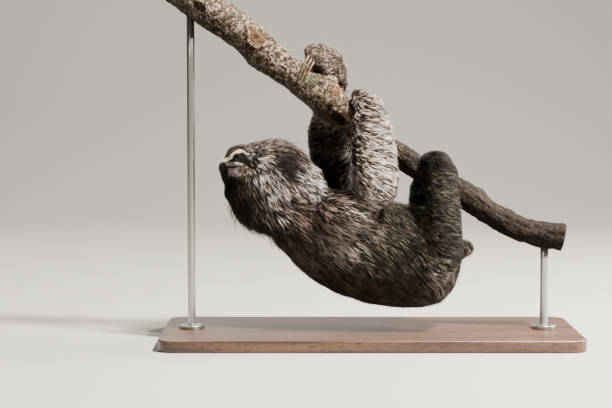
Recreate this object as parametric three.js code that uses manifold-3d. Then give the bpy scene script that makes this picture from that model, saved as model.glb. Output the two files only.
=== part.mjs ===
// A brown-throated three-toed sloth, life size, hanging by its four paws under a bent branch
// that a plain display stand holds up. The animal hangs belly up with its head at -X, turned
// upright on the twisted neck. Its right side faces -Y. Units are millimetres, +Z is up, and
// the origin is the middle of the base's underside.
//
// Each flesh solid reaches to the tips of the coat. Neighbours are parted by cutting one with
// a copy of the other grown by GAP, so that they meet and never overlap.
import * as THREE from "three";
import { mergeVertices } from "three/addons/utils/BufferGeometryUtils.js";
import Module from "manifold-3d";

const wasm = await Module();
wasm.setup();

// --- Driving sizes -----------------------------------------------------------------------
const GAP = 0.35; // clearance between solids that touch
const FINENESS = 0.06; // how far tidying a cut surface may move it
const BLEND_FINENESS = 0.5; // and tidying the surface of solids that are joined
const ACROSS = new THREE.Vector3(0, 1, 0); // from the animal's right side to its left

// Display stand
const BASE = { length: 620, width: 260, height: 18, corner: 24, bevel: 2.5 };
const ROD_RADIUS = 6;
const ROD_X = { left: -268, right: 262 };
const FLANGE = { radius: 19, height: 5, bevel: 1.2 };

// Branch: [x, y, z, bark radius] down its centre line, with a snapped-off knob below half way
const BRANCH = [
  [-296, 3, 534, 26],
  [-235, -1, 492, 26],
  [-191, -3, 460, 26],
  [-157, -2, 432, 25.5],
  [-103, 0, 389, 22.5],
  [-64, 1, 365, 31],
  [-38, 1, 340, 26],
  [0, 0, 306, 19],
  [50, 0, 274, 17.5],
  [105, 1, 241, 17.5],
  [143, 2, 218, 18.5],
  [178, 2, 193, 19],
  [224, -1, 168, 19],
  [290, -3, 155, 20.5],
];

// Trunk, from the neck to the rump: [x, z, half width, half depth from belly to back]
const TRUNK = [
  [-144, 190, 38, 30],
  [-122, 182, 50, 46],
  [-98, 175, 62, 60],
  [-52, 155, 71, 75],
  [0, 137, 76, 81],
  [52, 127, 75, 79],
  [96, 125, 68, 73],
  [138, 131, 50, 54],
];
const TAIL = [
  [124, 2, 136, 15],
  [145, 5, 139, 14],
  [158, 7, 143, 12],
];

// Head: the coat hides the skull, so it is a round ruff, a cranium and a short face. Places on
// the head are in its own axes: ahead, up and to its left of the middle of the cranium.
const RUFF = { centre: [-146, 0, 232.5], radii: [72, 60, 71] };
const CRANIUM = { centre: [-169, -3, 257], radii: [50, 45, 46] };
const HEAD_PITCH = 0.15; // the face looks a little up
const HEAD_YAW = 0.16; // and a little to the animal's left of straight ahead
const HEAD_PARTING = -36; // where the head ends and the neck starts
const FACE = [
  // [ahead, up, half width, half height]
  [8, -3, 40, 36],
  [32, 1, 33, 31],
  [44, 1, 25, 26],
  [51, -2, 17, 17],
  [56, -5.5, 12, 11],
  [59.5, -5, 8, 7.5],
];
const NOSE = { ahead: 55.5, up: -3.5, radii: [5.2, 8, 6.4] };
const EYE = { ahead: 33.8, up: 13, aside: 19.5, radius: 5.1 };
const SOCKET = { depth: 13, mouth: [13, 10.5] };
const EAR = { ahead: 0, up: 24, aside: 41.5, radius: 7.5, thick: 3 };

// Limbs: [x, y, z, radius] from the body outwards, to the tips of the coat. The right limbs
// pass the branch on its near side (-Y), the left limbs on its far side.
const LIMBS = {
  upper_arm_right: [
    [-78, -40, 190, 34],
    [-35, -58, 196, 34],
    [8, -72, 203, 33],
  ],
  forearm_right: [
    [8, -72, 203, 33],
    [5, -66, 268, 35],
    [0, -56, 318, 31.5],
    [-6, -45, 350, 24],
  ],
  upper_arm_left: [
    [-84, 40, 196, 34],
    [-61, 58, 200, 34],
    [-38, 72, 204, 33],
  ],
  forearm_left: [
    [-38, 72, 204, 33],
    [-60, 66, 268, 32],
    [-63, 60, 334, 29.5],
    [-48, 49, 366, 20],
    [-41, 37, 384, 12.5],
  ],
  thigh_right: [
    [72, -40, 132, 34],
    [97, -52, 120, 31],
    [117, -62, 111, 27],
  ],
  shin_right: [
    [117, -62, 111, 27],
    [108, -60, 160, 26.5],
    [106, -56, 200, 27],
    [103.5, -48, 230, 25.5],
    [101.5, -39, 254, 23],
  ],
  thigh_left: [
    [64, 40, 136, 34],
    [81, 52, 125, 31],
    [98, 63, 114, 27],
  ],
  shin_left: [
    [98, 63, 114, 27],
    [91, 62, 172, 27.5],
    [86, 56, 216, 26],
    [86, 43, 244, 21],
  ],
};
const ENDS = { upper: [0.3, 0.38], lower: [0.16, 0.12] }; // how much of a length rounds off

// Paws, from the wrist or ankle over the branch to the knuckles, and their claws. A row of
// `route` is [along the branch, degrees round it from the top, height above the bark, half
// width, half thickness]. Degrees are negative on the side that the limb comes from.
const PAWS = {
  hand_right: {
    comesFrom: -1,
    bark: 24,
    wrist: [-6, -45, 350, 23, 21],
    route: [
      [334, -43, 23, 21, 17],
      [325, -14, 10, 20, 13.5],
      [322, 24, 8, 17, 11.5],
      [323, 48, 7, 14, 8],
    ],
    claws: [
      [323, 40, 9],
      [324, 68, 9],
      [326, 98, 6],
      [328, 128, 2.4],
    ],
  },
  hand_left: {
    comesFrom: 1,
    bark: 24,
    wrist: [-41, 37, 378, 12.5, 12.5],
    route: [
      [284, -37, 24, 13, 12.5],
      [266, -18, 26.5, 15.5, 16],
      [239, -1, 24, 16, 16],
      [215, 11, 18.5, 13, 11],
    ],
    claws: [
      [233, 6, 19.5],
      [234, 30, 13],
      [236, 56, 6.5],
      [240, 88, 1.6],
    ],
  },
  foot_right: {
    comesFrom: -1,
    bark: 17.5,
    wrist: [103, -39, 254, 23, 21],
    route: [
      [483, -54, 18, 22, 17],
      [479, -26, 12, 22, 14],
      [477, 6, 8.5, 18, 9.5],
    ],
    claws: [
      [485, -4, 9],
      [486, 32, 9],
      [488, 76, 6],
      [490, 120, 2.2],
    ],
  },
  foot_left: {
    comesFrom: 1,
    bark: 17.5,
    wrist: [87, 43, 243, 17, 16],
    route: [
      [468, -88, 18, 15, 13],
      [467, -70, 11, 14, 10],
      [466, -50, 7, 12, 7],
    ],
    claws: [
      [466, -54, 7],
      [466, -18, 6],
      [466, 22, 4.4],
      [466, 62, 2.2],
    ],
  },
};
const CLAW = { root: 3.3, tip: 0.7, spacing: 6.6, flat: 0.82 };

// --- Small helpers -----------------------------------------------------------------------
const at = (x, y, z) => new THREE.Vector3(x, y, z);

// A closed geometry as a manifold-3d solid: only positions are kept, and equal ones merge.
function solid(geometry) {
  const loose = geometry.index ? geometry.toNonIndexed() : geometry;
  const bare = new THREE.BufferGeometry();
  bare.setAttribute("position", loose.getAttribute("position"));
  const merged = mergeVertices(bare, 1e-4);
  return new wasm.Manifold(
    new wasm.Mesh({
      numProp: 3,
      vertProperties: merged.attributes.position.array,
      triVerts: new Uint32Array(merged.index.array),
    }),
  );
}

// The largest body of a cut solid.
function largest(manifold) {
  const bodies = manifold.decompose();
  return bodies.reduce((best, one) => (one.volume() > best.volume() ? one : best));
}

// A solid as a three.js geometry.
function geometryOf(manifold) {
  const mesh = manifold.getMesh();
  const position = new Float32Array(mesh.numVert * 3);
  for (let i = 0; i < mesh.numVert; i++) {
    const start = i * mesh.numProp;
    position.set(mesh.vertProperties.subarray(start, start + 3), i * 3);
  }
  const geometry = new THREE.BufferGeometry();
  geometry.setAttribute("position", new THREE.BufferAttribute(position, 3));
  geometry.setIndex(new THREE.BufferAttribute(mesh.triVerts, 1));
  return geometry;
}

// How far a rounded end has opened at a share t of the length: a quarter circle over `share`.
function domed(t, share) {
  return t >= share ? 1 : Math.sqrt(1 - (1 - t / share) ** 2);
}

// A closed tube of oval rings along a smooth line. A station has a place, a half width in the
// direction `across` and a half depth square to it. Its two ends round off over the shares of
// its length in `ends`. grow is added to every radius.
function loft(stations, { sides, rings, ends, across = ACROSS, grow = 0 }) {
  const places = stations.map((s) => s.place);
  const line = new THREE.CatmullRomCurve3(places, false, "centripetal");
  const widths = stations.map((s) => at(s.wide, s.deep, 0));
  const sizes = new THREE.CatmullRomCurve3(widths, false, "catmullrom", 0.5);
  const position = [];
  for (let i = 0; i < rings; i++) {
    // Rings crowd towards the ends, where the domes curve fastest.
    const u = (1 - Math.cos((Math.PI * (i + 0.5)) / rings)) / 2;
    const open = Math.min(domed(u, ends[0]), domed(1 - u, ends[1]));
    const centre = line.getPoint(u);
    const along = line.getTangent(u);
    const wide = across.clone().addScaledVector(along, -across.dot(along)).normalize();
    const deep = along.clone().cross(wide);
    const size = sizes.getPoint(u);
    for (let k = 0; k < sides; k++) {
      const angle = (2 * Math.PI * k) / sides;
      const p = centre
        .clone()
        .addScaledVector(wide, Math.cos(angle) * (size.x * open + grow))
        .addScaledVector(deep, Math.sin(angle) * (size.y * open + grow));
      position.push(...p);
    }
  }
  const poles = [0, 1].map((u) => {
    const outwards = u ? grow : -grow;
    position.push(...line.getPoint(u).addScaledVector(line.getTangent(u), outwards));
    return position.length / 3 - 1;
  });
  const index = [];
  const last = (rings - 1) * sides;
  for (let k = 0; k < sides; k++) {
    const next = (k + 1) % sides;
    for (let start = 0; start < last; start += sides) {
      const a = start + k;
      const b = start + next;
      index.push(a, b, b + sides, a, b + sides, a + sides);
    }
    index.push(poles[0], next, k, poles[1], last + k, last + next);
  }
  const geometry = new THREE.BufferGeometry();
  geometry.setAttribute("position", new THREE.Float32BufferAttribute(position, 3));
  return solid(geometry.setIndex(index));
}

// A station from [x, y, z, radius] or [x, y, z, half width, half depth].
const station = ([x, y, z, wide, deep = wide]) => ({ place: at(x, y, z), wide, deep });

// An ellipsoid, turned about Y and then about Z.
function egg({ centre, radii, turn = 0, yaw = 0, detail, grow = 0 }) {
  return solid(
    new THREE.SphereGeometry(1, ...detail)
      .rotateX(Math.PI / 2)
      .scale(...radii.map((r) => r + grow))
      .rotateY(turn)
      .rotateZ(yaw)
      .translate(...centre),
  );
}

// Half of space: everything on the side of `place` that `towards` points to.
function half(place, towards) {
  const size = 1000;
  const turn = new THREE.Quaternion().setFromUnitVectors(at(0, 0, 1), towards);
  const middle = place.clone().addScaledVector(towards, size / 2);
  return solid(
    new THREE.BoxGeometry(size, size, size).applyQuaternion(turn).translate(...middle),
  );
}

// --- Branch, and places measured from it -------------------------------------------------
const branchLine = new THREE.CatmullRomCurve3(
  BRANCH.map(([x, y, z]) => at(x, y, z)),
  false,
  "centripetal",
);
const branchLength = branchLine.getLength();

function branch(grow = 0) {
  return loft(BRANCH.map(station), { sides: 12, rings: 30, ends: [0.012, 0.012], grow });
}

// A place at `along` mm from the branch's upper end, `degrees` round it from the top towards
// the animal's left (+Y), and `height` above a bark of radius `bark`.
function onBranch(along, degrees, height, bark) {
  const u = along / branchLength;
  const forward = branchLine.getTangentAt(u);
  const left = ACROSS.clone().addScaledVector(forward, -ACROSS.dot(forward)).normalize();
  const up = forward.clone().cross(left);
  const angle = THREE.MathUtils.degToRad(degrees);
  return branchLine
    .getPointAt(u)
    .addScaledVector(up, Math.cos(angle) * (bark + height))
    .addScaledVector(left, Math.sin(angle) * (bark + height));
}

// --- Trunk and tail ----------------------------------------------------------------------
function trunk(grow = 0) {
  const stations = TRUNK.map(([x, z, wide, deep]) => station([x, 0, z, wide, deep]));
  return loft(stations, { sides: 22, rings: 15, ends: [0.08, 0.18], grow });
}

function tail() {
  return loft(TAIL.map(station), { sides: 10, rings: 6, ends: [0.1, 0.5] });
}

// --- Head and neck -----------------------------------------------------------------------
const facing = at(-Math.cos(HEAD_PITCH), 0, Math.sin(HEAD_PITCH));
facing.applyAxisAngle(at(0, 0, 1), HEAD_YAW);
const headLeft = at(0, 0, 1).cross(facing).normalize(); // it points towards -Y
const headUp = facing.clone().cross(headLeft);

function onHead(ahead, up, left) {
  return at(...CRANIUM.centre)
    .addScaledVector(facing, ahead)
    .addScaledVector(headUp, up)
    .addScaledVector(headLeft, left);
}

const ruff = (grow = 0) => egg({ ...RUFF, detail: [18, 11], grow });
const cranium = () => egg({ ...CRANIUM, detail: [14, 9] });

function face() {
  const stations = FACE.map(([ahead, up, wide, deep]) => ({
    place: onHead(ahead, up, 0),
    wide,
    deep,
  }));
  return loft(stations, { sides: 14, rings: 9, ends: [0.1, 0.16], across: headLeft });
}

// The nose pad caps the muzzle.
function nose(grow = 0) {
  return egg({
    centre: onHead(NOSE.ahead, NOSE.up, 0),
    radii: NOSE.radii,
    turn: HEAD_PITCH,
    yaw: HEAD_YAW,
    detail: [12, 8],
    grow,
  });
}

// side is 1 for the turned head's own left, which faces -Y, and -1 for its right.
function eye(side, grow = 0) {
  return egg({
    centre: onHead(EYE.ahead, EYE.up, side * EYE.aside),
    radii: [EYE.radius, EYE.radius, EYE.radius],
    detail: [12, 8],
    grow,
  });
}

// The hollow in front of an eye, which opens ahead and aside.
function socket(side) {
  const { ahead, up, aside, radius } = EYE;
  const [wide, deep] = SOCKET.mouth;
  const inner = onHead(ahead, up, side * aside);
  const outer = onHead(ahead + SOCKET.depth, up + 2, side * (aside + SOCKET.depth * 0.7));
  return loft(
    [
      { place: inner, wide: radius + 0.6, deep: radius + 0.6 },
      { place: outer, wide, deep },
    ],
    { sides: 10, rings: 5, ends: [0.4, 0.02], across: headLeft },
  );
}

function ear(side, grow = 0) {
  return egg({
    centre: onHead(EAR.ahead, EAR.up, side * EAR.aside),
    radii: [EAR.radius, EAR.thick, EAR.radius * 1.15],
    turn: 0.5,
    yaw: HEAD_YAW + side * 0.25,
    detail: [10, 6],
    grow,
  });
}

// --- Limbs, paws and claws ---------------------------------------------------------------
function limb(name, grow = 0) {
  const ends = /arm_|thigh/.test(name) && !name.startsWith("fore") ? ENDS.upper : ENDS.lower;
  return loft(LIMBS[name].map(station), { sides: 14, rings: 8, ends, grow });
}

// A place on a paw's way round the branch.
function onPaw(paw, [along, degrees, height], aside = 0) {
  return onBranch(along + aside, -paw.comesFrom * degrees, height, paw.bark);
}

const alongPaw = (paw) => branchLine.getTangentAt(paw.route[1][0] / branchLength);

function pawSolid(name, grow = 0) {
  const paw = PAWS[name];
  const route = paw.route.map((row) => ({
    place: onPaw(paw, row),
    wide: row[3],
    deep: row[4],
  }));
  return loft([station(paw.wrist), ...route], {
    sides: 12,
    rings: 8,
    ends: [0.14, 0.16],
    across: alongPaw(paw),
    grow,
  });
}

// Claw 1, 2 or 3 of a paw: a long hook that tapers from its root to a blunt tip.
function claw(name, number, grow = 0) {
  const paw = PAWS[name];
  const last = paw.claws.length - 1;
  const stations = paw.claws.map((row, i) => {
    const spread = CLAW.spacing * (1 - 0.25 * (i / last)); // the tips close up a little
    const radius = THREE.MathUtils.lerp(CLAW.root, CLAW.tip, (i / last) ** 1.6);
    return {
      place: onPaw(paw, row, (number - 2) * spread),
      wide: radius * CLAW.flat,
      deep: radius,
    };
  });
  const across = alongPaw(paw);
  return loft(stations, { sides: 8, rings: 6, ends: [0.02, 0.06], across, grow });
}

// --- Stand -------------------------------------------------------------------------------
function standBase() {
  const { length, width, height, corner, bevel } = BASE;
  const x = length / 2 - bevel - corner;
  const y = width / 2 - bevel - corner;
  const quarter = Math.PI / 2;
  const outline = new THREE.Shape();
  outline.absarc(x, y, corner, 0, quarter);
  outline.absarc(-x, y, corner, quarter, 2 * quarter);
  outline.absarc(-x, -y, corner, 2 * quarter, 3 * quarter);
  outline.absarc(x, -y, corner, 3 * quarter, 4 * quarter);
  outline.closePath();
  const slab = new THREE.ExtrudeGeometry(outline, {
    depth: height - 2 * bevel,
    curveSegments: 5,
    bevelEnabled: true,
    bevelThickness: bevel,
    bevelSize: bevel,
    bevelSegments: 1,
  });
  return solid(slab.translate(0, 0, bevel));
}

// A turned piece: [radius, height] pairs from the axis round to the axis, standing at x.
function turned(profile, x) {
  const points = profile.map(([r, z]) => new THREE.Vector2(r, z));
  return solid(new THREE.LatheGeometry(points, 20).rotateX(Math.PI / 2).translate(x, 0, 0));
}

function standFlange(x) {
  const { radius, height, bevel } = FLANGE;
  const low = BASE.height + GAP;
  const top = low + height;
  const profile = [
    [0, low],
    [radius, low],
    [radius, top - bevel],
    [radius - bevel, top],
    [0, top],
  ];
  return turned(profile, x);
}

// A rod stands on its flange and ends in the branch's underside, which it fits.
function standRod(x) {
  const low = BASE.height + FLANGE.height + 2 * GAP;
  const high = BRANCH[0][2];
  const profile = [
    [0, low],
    [ROD_RADIUS, low],
    [ROD_RADIUS, high],
    [0, high],
  ];
  const parts = turned(profile, x).subtract(branch(GAP)).decompose();
  return parts.find((part) => part.boundingBox().min[2] < low + 1);
}

// --- Assembly ----------------------------------------------------------------------------
const material = (color, roughness, metalness = 0) =>
  new THREE.MeshStandardMaterial({ color, roughness, metalness });
const MATERIALS = {
  coat: material("#6b5d50", 0.9),
  face: material("#857365", 0.85),
  nose: material("#1b1714", 0.45),
  eye: material("#120c09", 0.08),
  claw: material("#a88a68", 0.4),
  bark: material("#8a7a68", 0.9),
  base: material("#3b2a20", 0.4),
  steel: material("#8b8c8e", 0.35, 1),
};

const sloth = new THREE.Group();
function add(name, manifold, materialName) {
  const tidy = largest(manifold).simplify(FINENESS);
  const mesh = new THREE.Mesh(geometryOf(tidy), MATERIALS[materialName]);
  mesh.name = name;
  sloth.add(mesh);
}

// The first solid, less each of the others.
const cut = (whole, ...others) => others.reduce((rest, other) => rest.subtract(other), whole);

const SIDES = ["right", "left"];
const HEAD_SIDE = { right: -1, left: 1 };
const FINGERS = [1, 2, 3];
const trunkRoom = trunk(GAP);
const branchRoom = branch(GAP);
const faceRoom = SIDES.flatMap((side) => [
  socket(HEAD_SIDE[side]),
  eye(HEAD_SIDE[side], GAP),
  ear(HEAD_SIDE[side], GAP),
]);

// The head is parted from the neck behind the cheeks, square to the way it faces.
const parting = onHead(HEAD_PARTING, 0, 0);
const headRoom = half(parting.clone().addScaledVector(facing, -GAP), facing);
const joined = ruff().add(cranium()).simplify(BLEND_FINENESS);
const headPart = joined.intersect(half(parting, facing)).add(face()).simplify(BLEND_FINENESS);
const armRooms = SIDES.flatMap((side) => [
  limb(`upper_arm_${side}`, GAP),
  limb(`forearm_${side}`, GAP),
]);

add("trunk", trunk(), "coat");
add("tail", cut(tail(), trunkRoom), "coat");
add("neck", cut(joined, headRoom, trunkRoom, ...faceRoom, ...armRooms), "coat");
add("head", cut(headPart, trunkRoom, nose(GAP), ...faceRoom), "face");
add("nose", nose(), "nose");

for (const side of SIDES) {
  add(`eye_${side}`, eye(HEAD_SIDE[side]), "eye");
  add(`ear_${side}`, ear(HEAD_SIDE[side]), "coat");
  const hand = `hand_${side}`;
  const foot = `foot_${side}`;
  // The claws of the other side's paw pass under this limb's coat.
  const other = side === "right" ? "left" : "right";
  const otherHand = FINGERS.map((n) => claw(`hand_${other}`, n, GAP));
  const otherFoot = FINGERS.map((n) => claw(`foot_${other}`, n, GAP));

  const upperArm = cut(limb(`upper_arm_${side}`), trunkRoom);
  const forearm = cut(
    limb(`forearm_${side}`),
    limb(`upper_arm_${side}`, GAP),
    trunkRoom,
    branchRoom,
    ...otherHand,
  );
  const handPart = cut(pawSolid(hand), limb(`forearm_${side}`, GAP), branchRoom);
  const thigh = cut(limb(`thigh_${side}`), trunkRoom);
  const shin = cut(
    limb(`shin_${side}`),
    limb(`thigh_${side}`, GAP),
    trunkRoom,
    branchRoom,
    ...otherFoot,
  );
  const footPart = cut(pawSolid(foot), limb(`shin_${side}`, GAP), branchRoom, ...otherFoot);
  add(`upper_arm_${side}`, upperArm, "coat");
  add(`forearm_${side}`, forearm, "coat");
  add(hand, handPart, "coat");
  add(`thigh_${side}`, thigh, "coat");
  add(`shin_${side}`, shin, "coat");
  add(foot, footPart, "coat");
  for (const paw of [hand, foot])
    for (const n of FINGERS)
      add(`${paw}_claw_${n}`, cut(claw(paw, n), pawSolid(paw, GAP), branchRoom), "claw");
}

add("branch", branch(), "bark");
add("stand_base", standBase(), "base");
for (const side of ["left", "right"]) {
  add(`stand_flange_${side}`, standFlange(ROD_X[side]), "steel");
  add(`stand_rod_${side}`, standRod(ROD_X[side]), "steel");
}

export default sloth;
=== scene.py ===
"""Life-size three-toed sloth hanging under a branch, with its coat, bark, stand and stage.

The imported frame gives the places. One skin replaces the solids of flesh, and locks of fur
grow from it. Lengths are in metres unless a name says otherwise.
"""
import math

import bmesh
import bpy
import numpy as np
from bpy.props import FloatProperty, FloatVectorProperty, IntProperty, PointerProperty
from mathutils import Matrix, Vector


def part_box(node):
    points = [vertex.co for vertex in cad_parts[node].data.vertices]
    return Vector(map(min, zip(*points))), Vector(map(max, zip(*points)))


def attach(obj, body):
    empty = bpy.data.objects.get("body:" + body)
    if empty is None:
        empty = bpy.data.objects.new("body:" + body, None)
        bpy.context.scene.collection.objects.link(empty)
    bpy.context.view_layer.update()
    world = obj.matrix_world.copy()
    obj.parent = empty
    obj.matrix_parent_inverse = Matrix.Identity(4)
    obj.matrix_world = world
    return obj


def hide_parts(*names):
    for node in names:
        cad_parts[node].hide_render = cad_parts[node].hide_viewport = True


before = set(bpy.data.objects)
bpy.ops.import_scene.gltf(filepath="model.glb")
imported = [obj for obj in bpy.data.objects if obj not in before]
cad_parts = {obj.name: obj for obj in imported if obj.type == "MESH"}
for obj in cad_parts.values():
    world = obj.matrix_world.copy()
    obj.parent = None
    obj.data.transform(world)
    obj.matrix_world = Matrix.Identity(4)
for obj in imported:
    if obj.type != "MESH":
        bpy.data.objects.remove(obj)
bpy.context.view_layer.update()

bl_info = {
    "name": "Hanging Sloth",
    "version": (1, 0, 0),
    "blender": (4, 5, 0),
    "location": "3D View > Sidebar > Sloth",
    "description": "Builds a still three-toed sloth under a branch on a display stand",
    "category": "Object",
}

MM = 0.001

# --- The frame's own shapes, repeated here where a surface is worked out afresh ------------

# Branch centre line and bark radius: x, y, z, radius in millimetres.
BRANCH = (
    (-296, 3, 534, 26), (-235, -1, 492, 26), (-191, -3, 460, 26), (-157, -2, 432, 25.5),
    (-103, 0, 389, 22.5), (-64, 1, 365, 31), (-38, 1, 340, 26), (0, 0, 306, 19),
    (50, 0, 274, 17.5), (105, 1, 241, 17.5), (143, 2, 218, 18.5), (178, 2, 193, 19),
    (224, -1, 168, 19), (290, -3, 155, 20.5),
)

# Claws: the side that the limb comes from (-1 is -Y), the bark radius under the paw, and for
# each station its way along the branch in mm, degrees round it from the top, and height.
CLAWS = {
    "hand_right": (-1, 24, ((323, 40, 9), (324, 68, 9), (326, 98, 6), (328, 128, 2.4))),
    "hand_left": (1, 24, ((233, 6, 19.5), (234, 30, 13), (236, 56, 6.5), (240, 88, 1.6))),
    "foot_right": (-1, 17.5, ((485, -4, 9), (486, 32, 9), (488, 76, 6), (490, 120, 2.2))),
    "foot_left": (1, 17.5, ((466, -54, 7), (466, -18, 6), (466, 22, 4.4), (466, 62, 2.2))),
}
# Claw radii at the root and the tip, the spacing of a paw's claws, and width over depth.
CLAW_ROOT, CLAW_TIP, CLAW_SPACING, CLAW_FLAT = 3.1, 0.6, 6.6, 0.82

# Head axes: the middle of the cranium, and how far the face looks up and to its left.
HEAD_MIDDLE = np.array((-0.169, -0.003, 0.257))
HEAD_PITCH, HEAD_YAW = 0.15, 0.16

LIMBS = ("upper_arm", "forearm", "hand", "thigh", "shin", "foot")
SIDES = ("right", "left")
HEAD = ("head", "ear_right", "ear_left")
FLESH = ("head", "neck", "trunk", "tail", "ear_right", "ear_left") + tuple(
    f"{part}_{side}" for part in LIMBS for side in SIDES
)


# --- Numbers and arrays ---------------------------------------------------------------------


def linear(code):
    """An sRGB hex colour as linear red, green and blue, and an alpha of 1."""
    parts = [int(code[i : i + 2], 16) / 255 for i in (1, 3, 5)]
    return (*[c / 12.92 if c <= 0.04045 else ((c + 0.055) / 1.055) ** 2.4 for c in parts], 1.0)


def rgb(code):
    """An sRGB hex colour as an array of linear red, green and blue."""
    return np.array(linear(code)[:3])


def unit(v):
    """Vectors scaled to length one."""
    return v / np.maximum(np.linalg.norm(v, axis=-1, keepdims=True), 1e-12)


def ramp(x, low, high):
    """0 below low, 1 above high, and a smooth S between them."""
    t = np.clip((x - low) / (high - low), 0, 1)
    return t * t * (3 - 2 * t)


def fall(x, low, high):
    """1 below low, 0 above high, and a smooth S between them."""
    return ramp(-x, -high, -low)


def mix(a, b, t):
    """a where t is 0 and b where t is 1."""
    return a + (b - a) * t


def lattice(cell, seed):
    """A repeatable random value from -1 to 1 for each whole-number cell."""
    c = cell.astype(np.int64)
    h = c[..., 0] * 73856093 ^ c[..., 1] * 19349663 ^ c[..., 2] * 83492791 ^ seed * 2654435761
    h = (h ^ (h >> 13)) * 1274126177 & 0x7FFFFFFF
    h = (h ^ (h >> 16)) * 668265263 & 0x7FFFFFFF
    return (h & 0xFFFF) / 32767.5 - 1


def value_noise(p, size, seed):
    """Smooth noise: lattice values at the corners of cells of the given size, blended."""
    q = p / size
    base = np.floor(q)
    f = q - base
    w = f * f * (3 - 2 * f)
    total = 0
    for corner in np.ndindex(2, 2, 2):
        share = np.prod(np.where(np.array(corner) == 1, w, 1 - w), axis=-1)
        total = total + share * lattice(base + corner, seed)
    return total


def fractal(p, size, octaves, seed):
    """Sum of value noises, each half the size and half the strength of the last."""
    return sum(value_noise(p, size / 2**i, seed + i) / 2**i for i in range(octaves))


def circle(count):
    """Evenly spaced angles round a circle, from 0."""
    return np.linspace(0, 2 * math.pi, count, endpoint=False)


def path_distance(p, path, most):
    """Distance from each point to a line of straight spans, or most if that is less."""
    best = np.full(len(p), most)
    for a, b in zip(path[:-1], path[1:]):
        t = np.clip((p - a) @ (b - a) / ((b - a) @ (b - a)), 0, 1)
        best = np.minimum(best, np.linalg.norm(p - a - t[:, None] * (b - a), axis=1))
    return best


def spline(points, count):
    """Centripetal Catmull-Rom curve through points: count samples, evenly spaced along it.

    Each span is a cubic Hermite curve. Its end slopes come from the neighbouring points,
    weighted by the square roots of their distances.
    """
    first = 2 * points[0] - points[1]
    last = 2 * points[-1] - points[-2]
    p = np.vstack([first, points, last])
    dt = np.sqrt(np.linalg.norm(np.diff(p[:, :3], axis=0), axis=1))[:, None]
    d0, d1, d2 = dt[:-2], dt[1:-1], dt[2:]
    p0, p1, p2, p3 = p[:-3], p[1:-2], p[2:-1], p[3:]
    m1 = ((p1 - p0) / d0 - (p2 - p0) / (d0 + d1) + (p2 - p1) / d1) * d1
    m2 = ((p2 - p1) / d1 - (p3 - p1) / (d1 + d2) + (p3 - p2) / d2) * d1
    t = np.linspace(0, 1, 60, endpoint=False)[None, :, None]
    h = [2 * t**3 - 3 * t**2 + 1, t**3 - 2 * t**2 + t, -2 * t**3 + 3 * t**2, t**3 - t**2]
    curve = h[0] * p1[:, None] + h[1] * m1[:, None] + h[2] * p2[:, None] + h[3] * m2[:, None]
    curve = np.vstack([curve.reshape(-1, p.shape[1]), points[-1]])
    way = np.concatenate([[0], np.cumsum(np.linalg.norm(np.diff(curve[:, :3], axis=0), axis=1))])
    even = np.linspace(0, way[-1], count)
    return even, np.stack([np.interp(even, way, curve[:, k]) for k in range(p.shape[1])], axis=1)


BRANCH_WAY, BRANCH_LINE = spline(np.array(BRANCH) * MM, 1400)


def branch_axes(way):
    """Centre, direction, upward and leftward unit vectors, and radius at a way along it."""
    at = np.stack([np.interp(way, BRANCH_WAY, BRANCH_LINE[:, k]) for k in range(4)], axis=-1)
    slope = np.gradient(BRANCH_LINE[:, :3], BRANCH_WAY, axis=0)
    ahead = unit(np.stack([np.interp(way, BRANCH_WAY, slope[:, k]) for k in range(3)], axis=-1))
    left = unit(np.array((0, 1, 0)) - ahead * ahead[..., 1:2])
    return at[..., :3], ahead, np.cross(ahead, left), left, at[..., 3]


def on_branch(way, degrees, height, bark):
    """A point at a way along the branch, degrees round from its top, above the bark."""
    centre, _, up, left, _ = branch_axes(np.asarray(way, float))
    angle = np.radians(degrees)[..., None]
    reach = (bark + np.asarray(height))[..., None]
    return centre + (np.cos(angle) * up + np.sin(angle) * left) * reach


LEVEL = math.cos(HEAD_PITCH)
FACING = np.array(
    (-LEVEL * math.cos(HEAD_YAW), -LEVEL * math.sin(HEAD_YAW), math.sin(HEAD_PITCH))
)
HEAD_LEFT = unit(np.cross((0, 0, 1), FACING))
HEAD_AXES = np.stack([FACING, np.cross(FACING, HEAD_LEFT), HEAD_LEFT])


def to_head(p):
    """Places in mm ahead of, above and to the left of the middle of the cranium."""
    return (p - HEAD_MIDDLE) @ HEAD_AXES.T / MM


def from_head(local):
    """The reverse of to_head."""
    return HEAD_MIDDLE + np.asarray(local) * MM @ HEAD_AXES


def left_side(local):
    """Places of the head, with those on its right mirrored to its left."""
    return np.stack([local[..., 0], local[..., 1], np.abs(local[..., 2])], axis=-1)


# --- Meshes ---------------------------------------------------------------------------------


def scene_object(name, data):
    """A new object of the scene, with the given data."""
    obj = bpy.data.objects.new(name, data)
    bpy.context.scene.collection.objects.link(obj)
    return obj


def write_places(mesh, co):
    """Moves a mesh's corners to new places."""
    mesh.vertices.foreach_set("co", np.asarray(co, np.float32).ravel())


def mesh_object(name, verts, faces):
    """A smooth mesh object from an array of corners and one or more arrays of faces."""
    groups = faces if isinstance(faces, (list, tuple)) else [faces]
    mesh = bpy.data.meshes.new(name)
    mesh.vertices.add(len(verts))
    write_places(mesh, verts)
    sizes = np.concatenate([np.full(len(g), g.shape[1]) for g in groups])
    corners = np.concatenate([g.ravel() for g in groups]).astype(np.int32)
    mesh.loops.add(len(corners))
    mesh.loops.foreach_set("vertex_index", corners)
    mesh.polygons.add(len(sizes))
    mesh.polygons.foreach_set("loop_start", (np.cumsum(sizes) - sizes).astype(np.int32))
    mesh.polygons.foreach_set("use_smooth", np.ones(len(sizes), bool))
    mesh.update(calc_edges=True)
    mesh.validate()
    return scene_object(name, mesh)


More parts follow.
